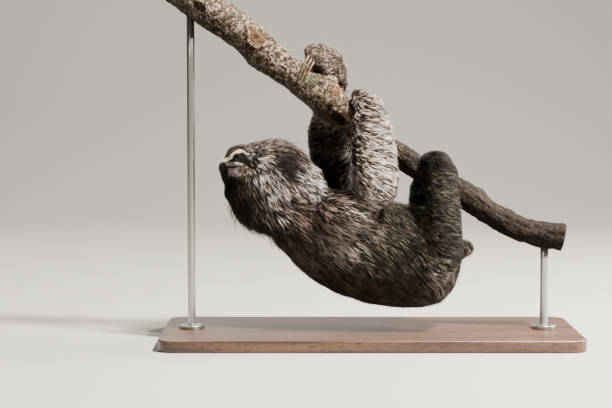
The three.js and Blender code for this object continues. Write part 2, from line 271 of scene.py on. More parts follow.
def grid_faces(rows, columns, closed=True):
    """Quads of a grid of corners whose columns join up into rings."""
    k = np.arange(columns if closed else columns - 1)
    i = np.arange(rows - 1)[:, None] * columns
    a, b = i + k, i + (k + 1) % columns
    return np.stack([a, b, b + columns, a + columns], axis=-1).reshape(-1, 4)


def pole_faces(rows, columns, first, last):
    """Triangles that close both ends of such a grid on the corners first and last."""
    k = np.arange(columns)
    n = (k + 1) % columns
    end = (rows - 1) * columns
    low = np.stack([np.full(columns, first), n, k], axis=1)
    high = np.stack([np.full(columns, last), end + k, end + n], axis=1)
    return np.vstack([low, high])


def closed_rings(rings):
    """Corners and faces of a closed surface from rings[row, column, xyz]."""
    rows, columns = rings.shape[:2]
    corners = rings.reshape(-1, 3)
    poles = np.stack([rings[0].mean(0), rings[-1].mean(0)])
    n = len(corners)
    faces = [grid_faces(rows, columns), pole_faces(rows, columns, n, n + 1)]
    return np.vstack([corners, poles]), faces


def joined(parts):
    """Several (corners, faces) as one."""
    corners, groups, start = [], {}, 0
    for verts, faces in parts:
        for g in faces:
            groups.setdefault(g.shape[1], []).append(g + start)
        corners.append(verts)
        start += len(verts)
    return np.vstack(corners), [np.vstack(g) for g in groups.values()]


def paint(obj, name, colours):
    """A colour for each vertex, as the named attribute."""
    values = np.ones((len(colours), 4), np.float32)
    values[:, : colours.shape[1]] = colours
    layer = obj.data.color_attributes.new(name, "FLOAT_COLOR", "POINT")
    layer.data.foreach_set("color", values.ravel())


def lay_out(obj, name, uv):
    """A UV map by name, with a place for each vertex."""
    layer = obj.data.uv_layers.new(name=name)
    corner = np.empty(len(obj.data.loops), np.int32)
    obj.data.loops.foreach_get("vertex_index", corner)
    layer.data.foreach_set("uv", uv[corner].astype(np.float32).ravel())


def placed(obj, slot, material, *nodes):
    """Finishes a piece: its material, its body and the nodes it stands for. The slot is not used.
    """
    obj.data.materials.clear()
    obj.data.materials.append(material)
    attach(obj, "root")
    if nodes:
        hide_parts(*nodes)
    return obj


def read_mesh(mesh):
    """Corners, corner normals, triangles and edges of a mesh as arrays."""
    mesh.calc_loop_triangles()

    def read(items, key, columns, kind):
        values = np.empty(len(items) * columns, kind)
        items.foreach_get(key, values)
        return values.reshape(-1, columns)

    return (
        read(mesh.vertices, "co", 3, np.float32).astype(float),
        read(mesh.vertex_normals, "vector", 3, np.float32).astype(float),
        read(mesh.loop_triangles, "vertices", 3, np.int32),
        read(mesh.edges, "vertices", 2, np.int32),
    )


def spread(values, edges, times):
    """Each vertex's values averaged with its neighbours', a number of times."""
    ends, others = np.concatenate([edges, edges[:, ::-1]]).T
    n = len(values)
    count = np.maximum(np.bincount(ends, minlength=n), 1)
    columns = values.reshape(n, -1).copy()
    for _ in range(times):
        for k in range(columns.shape[1]):
            near = np.bincount(ends, weights=columns[others, k], minlength=n) / count
            columns[:, k] = 0.5 * columns[:, k] + 0.5 * near
    return columns.reshape(values.shape)


# --- The skin -------------------------------------------------------------------------------

# Bare head in the head's axes, in mm: middle and radii of the forms that blend into it.
HEAD_FORMS = (
    ((-26.6, -20.8, 0), (63, 62, 51)),  # throat and ruff
    ((0, 1, 0), (43, 40, 38)),  # cranium
    ((20, 0, 0), (29, 28.5, 31)),  # face
    ((31, 18.5, 0), (17, 12.5, 22)),  # brow
    ((43, 5, 0), (9.5, 9, 10.5)),  # nose bridge
    ((42, -5, 0), (14.5, 12.5, 15)),  # muzzle
    ((35, -17, 0), (15.5, 12.5, 14)),  # chin
    ((27, -32, 0), (15.5, 18, 21)),  # gullet
    ((22, -8, 19), (17, 16, 13)),  # cheek
    ((22, -8, -19), (17, 16, 13)),
)
FACE_CORE = np.array((12.0, 0, 0))  # the face is a height above this point, by direction
EYE_PLACE = np.array((33.8, 13.0, 19.5))
EYE_OUT = unit(np.array((0.63, 0.06, 0.77)))  # the way the left eye looks
EYE_BALL, LID = 5.1, 0.7  # radius of the ball, and thickness of its lids
LIP_DEPTH, LIP_WIDTH = 1.5, 1.1  # of the groove between the lips

# Lines on the face, in the head's axes. The right side mirrors them.
MOUTH = (
    (56, -11, 0), (53.5, -8, 8), (49.5, -2.5, 14.5), (43.7, -1.4, 21.4), (38, -0.2, 28),
    (31, 4, 32),
)
BROW_BAND = (
    (54, 8, 0), (53, 7.4, 7.7), (47, 12.4, 14), (42, 18.5, 19.5), (38, 22.2, 21.5),
    (33.4, 25.2, 21.8), (25.4, 25.2, 24.4), (20.6, 22.8, 28.4),
)
BROW_LINE = (
    (50, 20, 0), (47.2, 24.1, 6.6), (42, 27.6, 11.8), (36, 30.4, 13), (29, 29.5, 18),
    (23, 26.5, 24), (17, 24, 28),
)
EYE_STRIPE = (
    (47, 8.6, 16.5), (42, 10, 20), (36.7, 12.7, 21), (29, 16.4, 28.3), (23.3, 14.4, 32),
    (18.3, 7.8, 36), (13.6, 4.1, 38.7), (7, 3, 41.6),
)
UNDER_EYE = ((38, 6.6, 25), (33, 6, 29.5), (28, 6, 32.5))
LOWER_LIP = ((43, -8.5, 21), (40, -9.5, 25), (35, -9, 30))
EAR_SPOT = ((6, 27, 31), (0, 24, 35))
EAR_TUFT = ((-2, 24, 35), (-14, 18, 40))
TEMPLE = ((17, 27, 25), (14.5, 20, 32), (11, 10, 38), (3, 3, 43), (-7, -2, 47))
# Lines on the body, in the frame: the ruff's edge in mm, and the pale upper arm in metres.
RUFF = (
    (-173, 0, 282), (-167, 0, 264), (-160, 0, 244), (-149, 0, 227), (-134, 0, 216),
    (-117, 0, 213),
)
ELBOW = np.array(
    ((0.014, -0.09, 0.25), (0.008, -0.1, 0.215), (-0.02, -0.09, 0.182), (-0.045, -0.08, 0.146))
)


def egg_distance(p, middle, radii):
    """Roughly how far p is outside an ellipsoid: k(k-1)/g, k = |p/r| and g = |p/r^2|."""
    q = p - middle
    r = np.asarray(radii, float)
    k = np.linalg.norm(q / r, axis=-1)
    g = np.linalg.norm(q / r**2, axis=-1)
    return k * (k - 1) / np.maximum(g, 1e-9)


def blended(a, b, soft):
    """The lesser of two distances, rounded over where they are within soft of each other."""
    h = np.clip(0.5 + 0.5 * (b - a) / soft, 0, 1)
    return mix(b, a, h) - soft * h * (1 - h)


def head_distance(p):
    """How far p is outside the bare head, with its lids and the openings of its eyes."""
    d = egg_distance(p, *HEAD_FORMS[0])
    for middle, radii in HEAD_FORMS[1:]:
        d = blended(d, egg_distance(p, middle, radii), 7)
    q = left_side(p) - EYE_PLACE
    along = unit(np.cross(EYE_OUT, (0, 1, 0)))
    upright = np.cross(along, EYE_OUT)
    seen = np.stack([q @ EYE_OUT, q @ along, q @ upright], -1)
    # The soft hollow that the eye sits in, the lids round the ball, and their opening.
    d = -blended(-d, egg_distance(seen, (6.5, 0, 1), (3.5, 8.5, 7)), 3)
    d = blended(d, np.linalg.norm(q, axis=-1) - (EYE_BALL + LID), 1.2)
    return np.maximum(d, -egg_distance(seen, (5.4, 0, 0.2), (4.4, 5.0, 3.8)))


def head_surface(direction):
    """Height of the bare head above the core along each direction, found by halving."""
    low = np.full(len(direction), 6.0)
    high = np.full(len(direction), 95.0)
    for _ in range(22):  # to 0.00002 mm
        middle = 0.5 * (low + high)
        inside = head_distance(FACE_CORE + direction * middle[:, None]) < 0
        low = np.where(inside, middle, low)
        high = np.where(inside, high, middle)
    return 0.5 * (low + high)


def line_distance(local, path):
    """Distance in mm over the face from each point to a line drawn on it.

    Both are seen from the core, as directions: chord length times the point's height.
    """
    q = left_side(local) - FACE_CORE
    turns = unit(np.array(path) - FACE_CORE)
    return path_distance(unit(q), turns, 9.0) * np.linalg.norm(q, axis=1)


# How far each part is grown before the skin is rebuilt, in mm. The skin is drawn back in by
# the same, which leaves a soft fillet where one part meets another.
GROWTH = {
    "trunk": 4.5, "neck": 5, "upper_arm": 4, "thigh": 4, "head": 3, "tail": 2,
    "forearm": 3, "shin": 3, "hand": 2.5, "foot": 2.5, "ear": 0.5, "nose": 0.5, "eye": 0.5,
}

# Balls that fill the flesh out, place and radius in mm: at the hollows in front of the eyes,
# the palm and knuckles of the far hand, the near foot, the back of the near hand, the nape,
# and the far arm's inner side.
FILLS = (
    (from_head((30, 12, 16)), 11), (from_head((30, 12, -16)), 11),
    (on_branch(0.252, 8, 11 * MM, 24 * MM), 15), (on_branch(0.266, -4, 11 * MM, 24 * MM), 16),
    ((-0.0905, -0.006, 0.4335), 13), ((-0.077, -0.002, 0.4255), 24.5),
    ((-0.0605, 0.010, 0.418), 25), ((-0.0535, 0.023, 0.403), 25),
    ((0.104, -0.045, 0.250), 28), (on_branch(0.465, -44, 10 * MM, 17.5 * MM), 15),
    ((-0.004, -0.045, 0.352), 24.5), ((-0.092, -0.02, 0.246), 28),
    ((-0.080, -0.035, 0.229), 22), ((-0.044, 0.058, 0.302), 26),
    ((-0.042, 0.060, 0.264), 27), ((-0.045, 0.056, 0.236), 24),
)


def bare_name(node):
    """A node's name without its side."""
    return node.replace("_right", "").replace("_left", "")


def flesh_copy():
    """The solids of flesh as one mesh, each merged and grown, with the balls that fill them."""
    bm = bmesh.new()
    for node in FLESH + ("nose", "eye_left", "eye_right"):
        part = bmesh.new()
        part.from_mesh(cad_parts[node].data)
        bmesh.ops.remove_doubles(part, verts=part.verts, dist=1e-5)
        part.normal_update()
        for v in part.verts:
            v.co += v.normal * GROWTH[bare_name(node)] * MM
        mesh = bpy.data.meshes.new("part")
        part.to_mesh(mesh)
        part.free()
        bm.from_mesh(mesh)
        bpy.data.meshes.remove(mesh)
    for centre, radius in FILLS:
        ball = bmesh.ops.create_icosphere(bm, subdivisions=3, radius=radius * MM)
        bmesh.ops.translate(bm, verts=ball["verts"], vec=centre)
    mesh = bpy.data.meshes.new("flesh")
    bm.to_mesh(mesh)
    bm.free()
    return mesh


def remeshed(mesh, voxel):
    """One closed surface round overlapping shells, rebuilt on voxels of the given size."""
    obj = scene_object("flesh", mesh)
    modifier = obj.modifiers.new("Remesh", "REMESH")
    modifier.mode = "VOXEL"
    modifier.voxel_size = voxel
    evaluated = obj.evaluated_get(bpy.context.evaluated_depsgraph_get())
    result = bpy.data.meshes.new_from_object(evaluated)
    bpy.data.objects.remove(obj)
    return result


def nearest_node(points, names):
    """Index of the named node that each point lies nearest to, by its corners and faces."""
    marks = []
    for name in names:
        co, _, tri, _ = read_mesh(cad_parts[name].data)
        marks.append(np.vstack([co, co[tri].mean(1)]))
    owners = np.repeat(np.arange(len(names)), [len(m) for m in marks])
    marks = np.vstack(marks)
    squares = (marks**2).sum(1)
    best = [
        owners[np.argmin(squares - 2 * block @ marks.T, axis=1)]
        for block in np.array_split(points, max(1, len(points) // 1500))
    ]
    return np.concatenate(best)


# Coat by part of the body. depth: how far the skin lies under the coat's tips, length of a
# lock, its width, and the distance between roots, in mm. lay: the way that its locks lie.
COAT = {
    "head": (7.0, 20, 0.9, 1.8, (0.5, 0, -0.9)),
    "neck": (8.0, 30, 1.0, 1.85, (0.85, 0, -0.5)),
    "trunk": (8.0, 32, 1.0, 1.9, (0.78, 0, -0.62)),
    "tail": (4.0, 9, 0.9, 1.5, (0.45, 0, -0.85)),
    "upper_arm": (6.5, 27, 1.0, 1.8, (0.9, 0, -0.45)),
    "forearm": (6.2, 24, 0.95, 1.7, (0.95, 0, -0.22)),
    "hand": (3.6, 10, 0.75, 1.3, (0.8, 0.2, -0.5)),
    "thigh": (7.0, 27, 1.0, 1.8, (0.8, 0, -0.6)),
    "shin": (5.6, 21, 0.95, 1.7, (0.93, 0, -0.3)),
    "foot": (5.0, 15, 0.9, 1.6, (0.93, 0, -0.3)),
    "ear": (1.5, 9, 0.7, 1.5, (0.6, 0, 0.2)),
}


def coat_of(node):
    """The row of COAT for a node: its name without the side."""
    return COAT[bare_name(node)]


def build_skin(voxel):
    """The animal's bare skin.

    The flesh is remeshed, smoothed and drawn in by its growth and the coat's depth. Then the
    face is split finer and moved on to the bare head's surface, with the mouth pressed in as
    a groove of depth d exp(-(x/w)^2).
    """
    mesh = remeshed(flesh_copy(), voxel)
    co, _, _, edges = read_mesh(mesh)
    co = spread(co, edges, 6)
    write_places(mesh, co)
    mesh.update()
    co, normal, _, edges = read_mesh(mesh)
    owner = nearest_node(co, FLESH)
    depth = np.array([coat_of(n)[0] + GROWTH[bare_name(n)] for n in FLESH])[owner] * MM
    depth = spread(depth, edges, 12)
    co = spread(co - spread(normal, edges, 3) * depth[:, None], edges, 2)
    write_places(mesh, co)

    bm = bmesh.new()
    bm.from_mesh(mesh)
    for limit in (62, 50):  # degrees from straight ahead: the middle is split twice
        local = to_head(np.array([v.co for v in bm.verts]))
        facing = unit(local - FACE_CORE)[:, 0] > math.cos(math.radians(limit))
        near = facing & (local[:, 0] > 5)
        bm.verts.ensure_lookup_table()
        chosen = [e for e in bm.edges if near[e.verts[0].index] and near[e.verts[1].index]]
        bmesh.ops.subdivide_edges(bm, edges=chosen, cuts=1, use_grid_fill=True)
        bm.verts.index_update()
    bmesh.ops.triangulate(bm, faces=[f for f in bm.faces if len(f.verts) > 4])
    bm.to_mesh(mesh)
    bm.free()

    from_core = to_head(read_mesh(mesh)[0]) - FACE_CORE
    reach = np.linalg.norm(from_core, axis=1)
    direction = unit(from_core)
    turn = np.degrees(np.arccos(np.clip(direction[:, 0], -1, 1)))
    share = fall(turn, 60, 84) * (reach < 60)  # the face ends 84 degrees from ahead
    rows = np.flatnonzero(share > 0)
    height = head_surface(direction[rows])
    lips = line_distance(FACE_CORE + direction[rows] * height[:, None], MOUTH)
    height -= LIP_DEPTH * np.exp(-((lips / LIP_WIDTH) ** 2))
    reach[rows] = mix(reach[rows], height, share[rows])
    write_places(mesh, from_head(FACE_CORE + direction * reach[:, None]))
    mesh.polygons.foreach_set("use_smooth", np.ones(len(mesh.polygons), bool))
    mesh.update()
    mesh.name = "skin"
    return scene_object("skin", mesh)


def paw_lay(p, side, drift):
    """The way round the branch from a limb's side over the top, with a drift along it."""
    centre, ahead, _, _, _ = branch_axes(np.interp(p[:, 0], BRANCH_LINE[:, 0], BRANCH_WAY))
    return np.cross(unit(p - centre), ahead) * side + ahead * drift


def coat_fields(co, normal, edges):
    """For each skin vertex: part of the body, way of lying, and the coat's measures.

    The head's coat fans out from the nose and then falls; the body's lies down and back;
    a paw's follows the paw round the branch. All are smoothed over the skin.
    """
    owner = nearest_node(co, FLESH)
    rows = np.array([coat_of(n)[:4] for n in FLESH])[owner]
    depth, length, width, pitch = rows.T * MM
    lay = np.array([coat_of(n)[4] for n in FLESH], float)[owner]
    names = np.array(FLESH)[owner]
    sideways = np.sign(co[:, 1:2]) * np.array((0, 1, 0))
    body = np.isin(names, ("trunk", "neck"))
    lay[body] += sideways[body] * 0.55 * ramp(normal[body, 2:3], 0.2, 0.8)
    lay[body] += (-0.25, 0, -0.25) * ramp(co[body, :1], -0.02, 0.1)
    # On a limb it goes round, from inside the animal over the outside, and a little down.
    for side, turn in (("right", 1), ("left", -1)):
        here = np.isin(names, [f"{part}_{side}" for part in ("forearm", "shin", "hand", "foot")])
        low = 0.9 * fall(co[here, 2:3], 0.205, 0.29) * (co[here, :1] < 0.05)
        down = 0.25 + low + 0.5 * fall(co[here, 2:3], 0.13, 0.19)
        lay[here] = np.cross((0, 0, turn), normal[here]) + (0.35, 0, 0) - down * (0, 0, 1)
    far_hand = names == "hand_left"
    lay[far_hand] = paw_lay(co[far_hand], -1, -0.75)
    lay[names == "hand_right"] = coat_of("hand")[4]
    for values, size in ((length, 7.0), (depth, 2.8), (width, 0.85), (pitch, 1.3)):
        values[far_hand] = size * MM

    local = to_head(co)
    on_head = np.isin(names, HEAD)
    from_nose = np.linalg.norm(local - (55, -4, 0), axis=1)
    back = unit(co - from_head((58, -4, 0)))
    hang = ramp(from_nose, 22, 60) * fall(local[:, 1], -10, 34) * 1.5
    fan = back + hang[:, None] * np.array((0.12, 0, -1))
    lay[on_head] = fan[on_head]
    grown = ramp(from_nose + 0.6 * np.maximum(-local[:, 1], 0), 28, 82)
    spans = ((length, 2.4, 22), (width, 0.5, 0.95), (pitch, 0.9, 1.8), (depth, 1.1, 8.0))
    for values, bare, full in spans:
        values[on_head] = (mix(bare, full, grown) * MM)[on_head]

    lay = unit(lay)
    for _ in range(3):
        lay = spread(lay, edges, 4)
        lay = unit(lay - normal * (lay * normal).sum(1, keepdims=True))
    # Curl: the crown's hair is wiry and crossed, the ruff's wavy, the throat's a loose
    # fringe, and the paws' lies flat, most of all on the far hand.
    curl = np.where(body, 0.3, 0.22)
    curl[np.isin(names, ("hand_left", "hand_right", "foot_left", "foot_right"))] = 0.12
    curl[far_hand] = 0.055
    wiry = 0.3 + 0.6 * ramp(local[:, 1], -12, 12) * fall(local[:, 0], -4, 16)
    wiry = np.maximum(wiry, 0.7 * fall(normal[:, 2], -0.6, -0.1) * fall(local[:, 1], -50, -30))
    curl = np.where(on_head, wiry * grown, curl)
    under = fall(normal[:, 2], -0.5, 0.0) * fall(co[:, 0], -0.15, -0.13)
    under = under * fall(co[:, 2], 0.215, 0.235)
    curl = np.maximum(curl, 0.8 * under)
    length = length * (1 + 0.6 * under)
    measures = np.stack([length, width, pitch, depth, curl], axis=1)
    return names, lay, spread(measures, edges, 16)


# Colours of the coat by part, before each lock varies, and of its markings and painted shade: sRGB
# hex.
TONES = {
    "head": "#352a22", "neck": "#17120a", "trunk": "#1e1a0d", "tail": "#3e3525",
    "upper_arm": "#352a20", "forearm": "#67574c", "hand": "#756253", "thigh": "#19170b",
    "shin": "#19160b", "foot": "#0f0b06", "ear": "#4c3a27",
}
MARK_TONES = {
    "muzzle": "#5d5455", "chin": "#8d807e", "cheek": "#5b5049", "band": "#ddcdb5",
    "stripe": "#0b0605", "throat": "#0e0b04", "ochre": "#5b4426", "crown": "#372a22",
    "mane": "#95857c", "arm": "#6e6156", "shoulder": "#3d2c21",
}


def markings_light_and_shade(co, names):
    """The coat's colour at each point: by part of the body, by the lines on the face, and with
    painted light and shade.
    """
    table = np.array([rgb(TONES[bare_name(n)]) for n in FLESH])
    order = {n: i for i, n in enumerate(FLESH)}
    base = table[np.array([order[n] for n in names])]
    base = base * np.clip(1 + 0.45 * fractal(co, 0.03, 3, 5), 0.3, 2)[:, None]
    head = np.isin(names, HEAD)
    local = to_head(co)
    ahead, up, side = left_side(local).T
    x, y, z = co.T
    ragged = fractal(co, 0.006, 2, 9)
    wobble = 2.0 * ragged

    def lay_on(colour, share):
        """Mixes a marking, painted light or painted shade over the coat, where its share is above
        0.
        """
        nonlocal base
        base = mix(base, rgb(MARK_TONES[colour]), np.clip(share, 0, 1)[:, None])

    def apart(middle, stretch=1):
        """Distance of each point from a place, with space stretched along X, Y and Z."""
        return np.linalg.norm((co - middle) * stretch, axis=1)

    # The shoulder is redder than the rump, and the lower body is darkened as painted shade.
    limbs = [f"{part}_{e}" for part in ("forearm", "hand", "foot", "shin") for e in SIDES]
    body = ~head & ~np.isin(names, limbs)
    red = fall(x, -0.05, 0.04) * ramp(z, 0.12, 0.18) * (1 - 0.55 * fall(x, -0.11, -0.08))
    lay_on("shoulder", body * red * 0.8)
    lay_on("throat", body * fall(z, 0.06, 0.12) * fall(x, 0.04, 0.09) * 0.35)
    # A pale patch by the rump on the near side: partly paler hair and partly painted light.
    rump = apart((0.105, -0.05, 0.095), (1, 0.3, 0.8)) + 0.005 * ragged
    lay_on("arm", fall(rump, 0.012, 0.034) * (y < 0) * 0.5)
    neck = apart((-0.084, -0.045, 0.236)) + 0.004 * ragged
    lay_on("mane", fall(neck, 0.016, 0.036) * 0.9)
    # The upper arm is as pale as the forearm down to the elbow's fold, on the near side: partly
    # pale hair and partly a painted highlight.
    elbow = path_distance(co, ELBOW, 1.0) + 0.005 * ragged
    lay_on("arm", fall(elbow, 0.01, 0.042) * (y < 0) * 0.6)
    # Painted shade: the elbow's fold is darkened.
    fold_shade = apart((0.022, -0.085, 0.190), (0.8, 0.5, 1)) + 0.003 * ragged
    lay_on("stripe", fall(fold_shade, 0.004, 0.02) * 0.3)
    # The near forearm is palest along its outer side. Its inner side and its left edge are darker
    # and redder: partly a redder coat and partly painted shade.
    fore = np.isin(names, ("forearm_right", "hand_right"))
    lay_on("shoulder", fore * ramp(y, -0.062, -0.04) * 0.75)
    lay_on("shoulder", (names == "forearm_right") * fall(x, -0.022, 0.0) * 0.6)
    # Inside the far arm the coat is darkened as painted shade. Behind the ear and in the far palm
    # it is dark: partly dark hair and skin and partly painted shade.
    inside = np.isin(names, ("forearm_left", "upper_arm_left")) * fall(y, 0.085, 0.1)
    lay_on("stripe", inside * fall(z, 0.31, 0.36) * 0.88)
    q = (co - (-0.124, 0, 0.257)) @ np.array(((0.87, 0, 0.5), (0, 0, 0), (-0.5, 0, 0.87)))
    behind_ear = np.hypot(q[:, 0] / 0.026, q[:, 2] / 0.018) + 0.25 * ragged
    behind_ear = fall(behind_ear, 0.6, 1.4) * 0.84
    lay_on("stripe", (head | (names == "neck")) * behind_ear)
    far_hand = names == "hand_left"
    lay_on("shoulder", far_hand * ramp(z + 0.004 * ragged, 0.424, 0.44) * 0.4)
    palm = apart(on_branch(0.250, 6, 4 * MM, 24 * MM))
    lay_on("stripe", far_hand * fall(palm, 0.015, 0.023) * 0.9)

    # The head, from the crown and the ruff down to the lines of the face.
    front = head & (ahead > -40)
    height, reach = up + wobble, ahead + wobble
    lay_on("crown", front * ramp(height, 16, 28))
    jowl = fall(up + wobble * 2, -16, -2) * ramp(reach, -4, 12)
    lay_on("throat", head * jowl * 0.8)
    lay_on("throat", head * fall(up + wobble * 2, -54, -34) * 0.75)
    ruff = line_distance(co / MM * (1, 0, 1), RUFF) - 5 * fall(z, 0.2, 0.25) + wobble * 1.5
    lay_on("cheek", head * ramp(side + wobble, 14, 26) * fall(ruff, 5, 10) * 0.95)
    temple = line_distance(local, TEMPLE) - 3 * fall(ahead, -6, 12) + wobble
    lay_on("cheek", head * fall(temple, 4, 8) * 0.9)
    # The dark patch behind the ear again, over the head's colours: partly dark hair and partly
    # painted shade.
    lay_on("stripe", head * behind_ear)
    snout = ramp(reach, 8, 16) * fall(height, 4, 8) * ramp(height, -18, -10)
    lay_on("ochre", front * snout * 0.4)
    snout = ramp(reach, 28, 33) * fall(height, 5, 9) * ramp(height, -18, -13)
    lay_on("muzzle", front * snout)
    tip = ahead + 0.6 * ragged
    lay_on("stripe", front * ramp(tip, 43.5, 46) * fall(up, -4, -1))
    lay_on("stripe", front * ramp(tip - 0.8 * np.maximum(up, -3), 46.5, 49) * fall(up, 5, 7))
    # The chin's front and the throat below it are darkened: partly their own dark colour and partly
    # painted shade.
    lay_on("stripe", front * ramp(reach, 32, 38) * fall(height, -18, -15) * 0.9)
    lay_on("throat", front * fall(height, -17, -12) * ramp(ahead, 26, 34) * 0.9)
    # The stripe widens round the eye, and the band towards the nose.
    eye_swell = 5.4 * np.exp(-(((ahead - 30) / 9) ** 2))
    brow_swell = mix(1.0, 2.9, ramp(ahead, 24, 34))
    # Each line: colour, path, swell, raggedness, mm to its inner and outer edge, and share.
    for colour, line, swell, rough, inner, outer, share in (
        ("chin", LOWER_LIP, 0, 0.6, 3.4, 5.2, front * 0.95),
        ("stripe", MOUTH, 0, 0, 0.8, 1.6, front),
        ("stripe", EYE_STRIPE, eye_swell, 0.5, 1.8, 2.9, front),
        ("band", BROW_BAND, brow_swell, 0.25, -0.4, 0.5, front),
        ("stripe", BROW_LINE, 0, 0.8, 1.8, 3.6, front * 0.9),
        ("band", UNDER_EYE, 0, 0.2, 0.7, 1.3, front * 0.9),
        ("ochre", EAR_TUFT, 0, 0, 3, 7, head * 0.6),
        ("stripe", EAR_SPOT, 0, 1, 3.5, 6, head * 0.95),
    ):
        gap = line_distance(local, line) - swell + rough * ragged
        lay_on(colour, share * fall(gap, inner, outer))
    lids = np.linalg.norm(left_side(local) - EYE_PLACE, axis=1)
    lay_on("stripe", head * fall(lids, 7.6, 8.6))
    return np.clip(base, 0, 1)


# --- The coat -------------------------------------------------------------------------------


def surface_lookup(co, cell, steps):
    """A function that gives, for points near the skin, the skin vertex nearest to each.

    Space is cut into cells. A cell that holds a vertex knows it, and its neighbours learn it
    from one another in a few steps, each keeping the nearer vertex.
    """
    low = co.min(0) - cell * (steps + 1)
    shape = np.ceil((co.max(0) + cell * (steps + 1) - low) / cell).astype(int) + 1
    known = np.full(shape, -1, np.int32)
    known[tuple(((co - low) / cell).astype(int).T)] = np.arange(len(co))
    corner = np.indices(shape).transpose(1, 2, 3, 0).astype(np.float32)
    centres = low.astype(np.float32) + (corner + 0.5) * np.float32(cell)
    points = co.astype(np.float32)
    gap = np.where(known >= 0, ((points[known] - centres) ** 2).sum(-1), np.inf).astype(np.float32)
    for _ in range(steps):
        for axis in range(3):
            every = [slice(None)] * 3
            after, before = every.copy(), every.copy()
            after[axis], before[axis] = slice(1, None), slice(None, -1)
            for here, there in ((after, before), (before, after)):
                here, there = tuple(here), tuple(there)
                offered = known[there]
                distance = ((points[offered] - centres[here]) ** 2).sum(-1)
                better = (offered >= 0) & (distance < gap[here])
                known[here] = np.where(better, offered, known[here])
                gap[here] = np.where(better, distance, gap[here])

    def nearest(p):
        return known[tuple(np.clip(((p - low) / cell).astype(int), 0, shape - 1).T)]

    return nearest


def sow_roots(co, tri, pitch, rng):
    """Roots over the skin, one for each pitch squared: triangle and place within it."""
    a, b, c = co[tri[:, 0]], co[tri[:, 1]], co[tri[:, 2]]
    area = 0.5 * np.linalg.norm(np.cross(b - a, c - a), axis=1)
    number = np.cumsum(area / pitch[tri].mean(1) ** 2)
    count = int(number[-1])
    picks = np.searchsorted(number, np.arange(count) + rng.random(count))
    picks = np.minimum(picks, len(tri) - 1)
    share = rng.random((len(picks), 2))
    over = share.sum(1) > 1
    share[over] = 1 - share[over]
    return tri[picks], np.column_stack([1 - share.sum(1), share])


def blend_at(values, corners, weights):
    """Vertex values at the roots."""
    return (values[corners] * weights.reshape(weights.shape + (1,) * (values.ndim - 1))).sum(1)


def walk_locks(root, lay, normal, length, depth, curl, segments, field, rng, hold):
    """The spine of each lock: it leaves the skin, then follows it at a growing height.

    Each step goes along the lay, then moves towards its height above the nearest skin. The
    height grows as 1 - (1 - t)^2.5 to the coat's depth, and the way bends towards the lay
    of the skin below. A few locks are loose and stand off, more of them where curl is high.
    Hold is how closely the others keep to their height.
    """
    skin, skin_normal, skin_lay, nearest = field
    n = len(root)
    curl = curl[:, None]
    stray = rng.random((n, 1)) < 0.02 + 0.1 * curl + 0.2 * ramp(curl, 0.55, 0.75)
    loose = stray * mix(0.35, 0.85, ramp(curl, 0.45, 0.7))
    way = unit(lay + (0.08 + 0.6 * curl) * rng.normal(size=(n, 3)) + loose * normal)
    wave = rng.random(n) * 6.28  # where in its wave each lock starts
    wave_size = curl * (0.4 + 1.2 * rng.random((n, 1)))
    reach = depth[:, None] * mix(0.7, 1.2, rng.random((n, 1))) * (1 + 1.3 * loose)
    step = (length / segments)[:, None]
    p = root - normal * 0.6 * MM  # roots lie just under the skin
    spine = [p]
    for k in range(1, segments + 1):
        t = k / segments
        p = p + way * step
        near = nearest(p)
        known = (near >= 0)[:, None]
        out = np.where(known, skin_normal[near], normal)
        height = ((p - skin[near]) * out).sum(1, keepdims=True)
        wanted = reach * (1 - (1 - t) ** 2.5)
        grip = hold * (1 - 0.35 * t) * (1 - loose)
        p = p + np.where(known, out * (wanted - height) * grip, 0)
        aside = np.cross(out, way) * wave_size * np.sin(wave + 2.4 * k)[:, None]
        way = mix(way, np.where(known, skin_lay[near], way), 0.28) + aside
        way = unit(way - out * (way * out).sum(1, keepdims=True) * 0.8 * (1 - loose))
        spine.append(p)
    return np.stack(spine, axis=1)


def gather_tufts(spine, size, share, rng):
    """Draws the tips of neighbouring locks together, as hairs of a tuft cling.

    Share is how far each lock's tip goes towards its leader's, which is 9 mm at most along
    each axis. The second result is a random number that a tuft's locks share.
    """
    n, rows = spine.shape[:2]
    root, tip = spine[:, 0], spine[:, -1]
    leaders = rng.choice(n, max(1, int(n / size)), replace=False)
    squares = (root[leaders] ** 2).sum(1)
    blocks = np.array_split(np.arange(n), max(1, n // 3000))
    pick = [np.argmin(squares - 2 * root[b] @ root[leaders].T, axis=1) for b in blocks]
    leader = leaders[np.concatenate(pick)]
    pull = np.clip(tip[leader] - tip, -0.009, 0.009) * (share * rng.uniform(0.55, 1, n))[:, None]
    t = np.linspace(0, 1, rows)[None, :, None]
    return spine + pull[:, None] * t**1.6, rng.random(n)[leader]


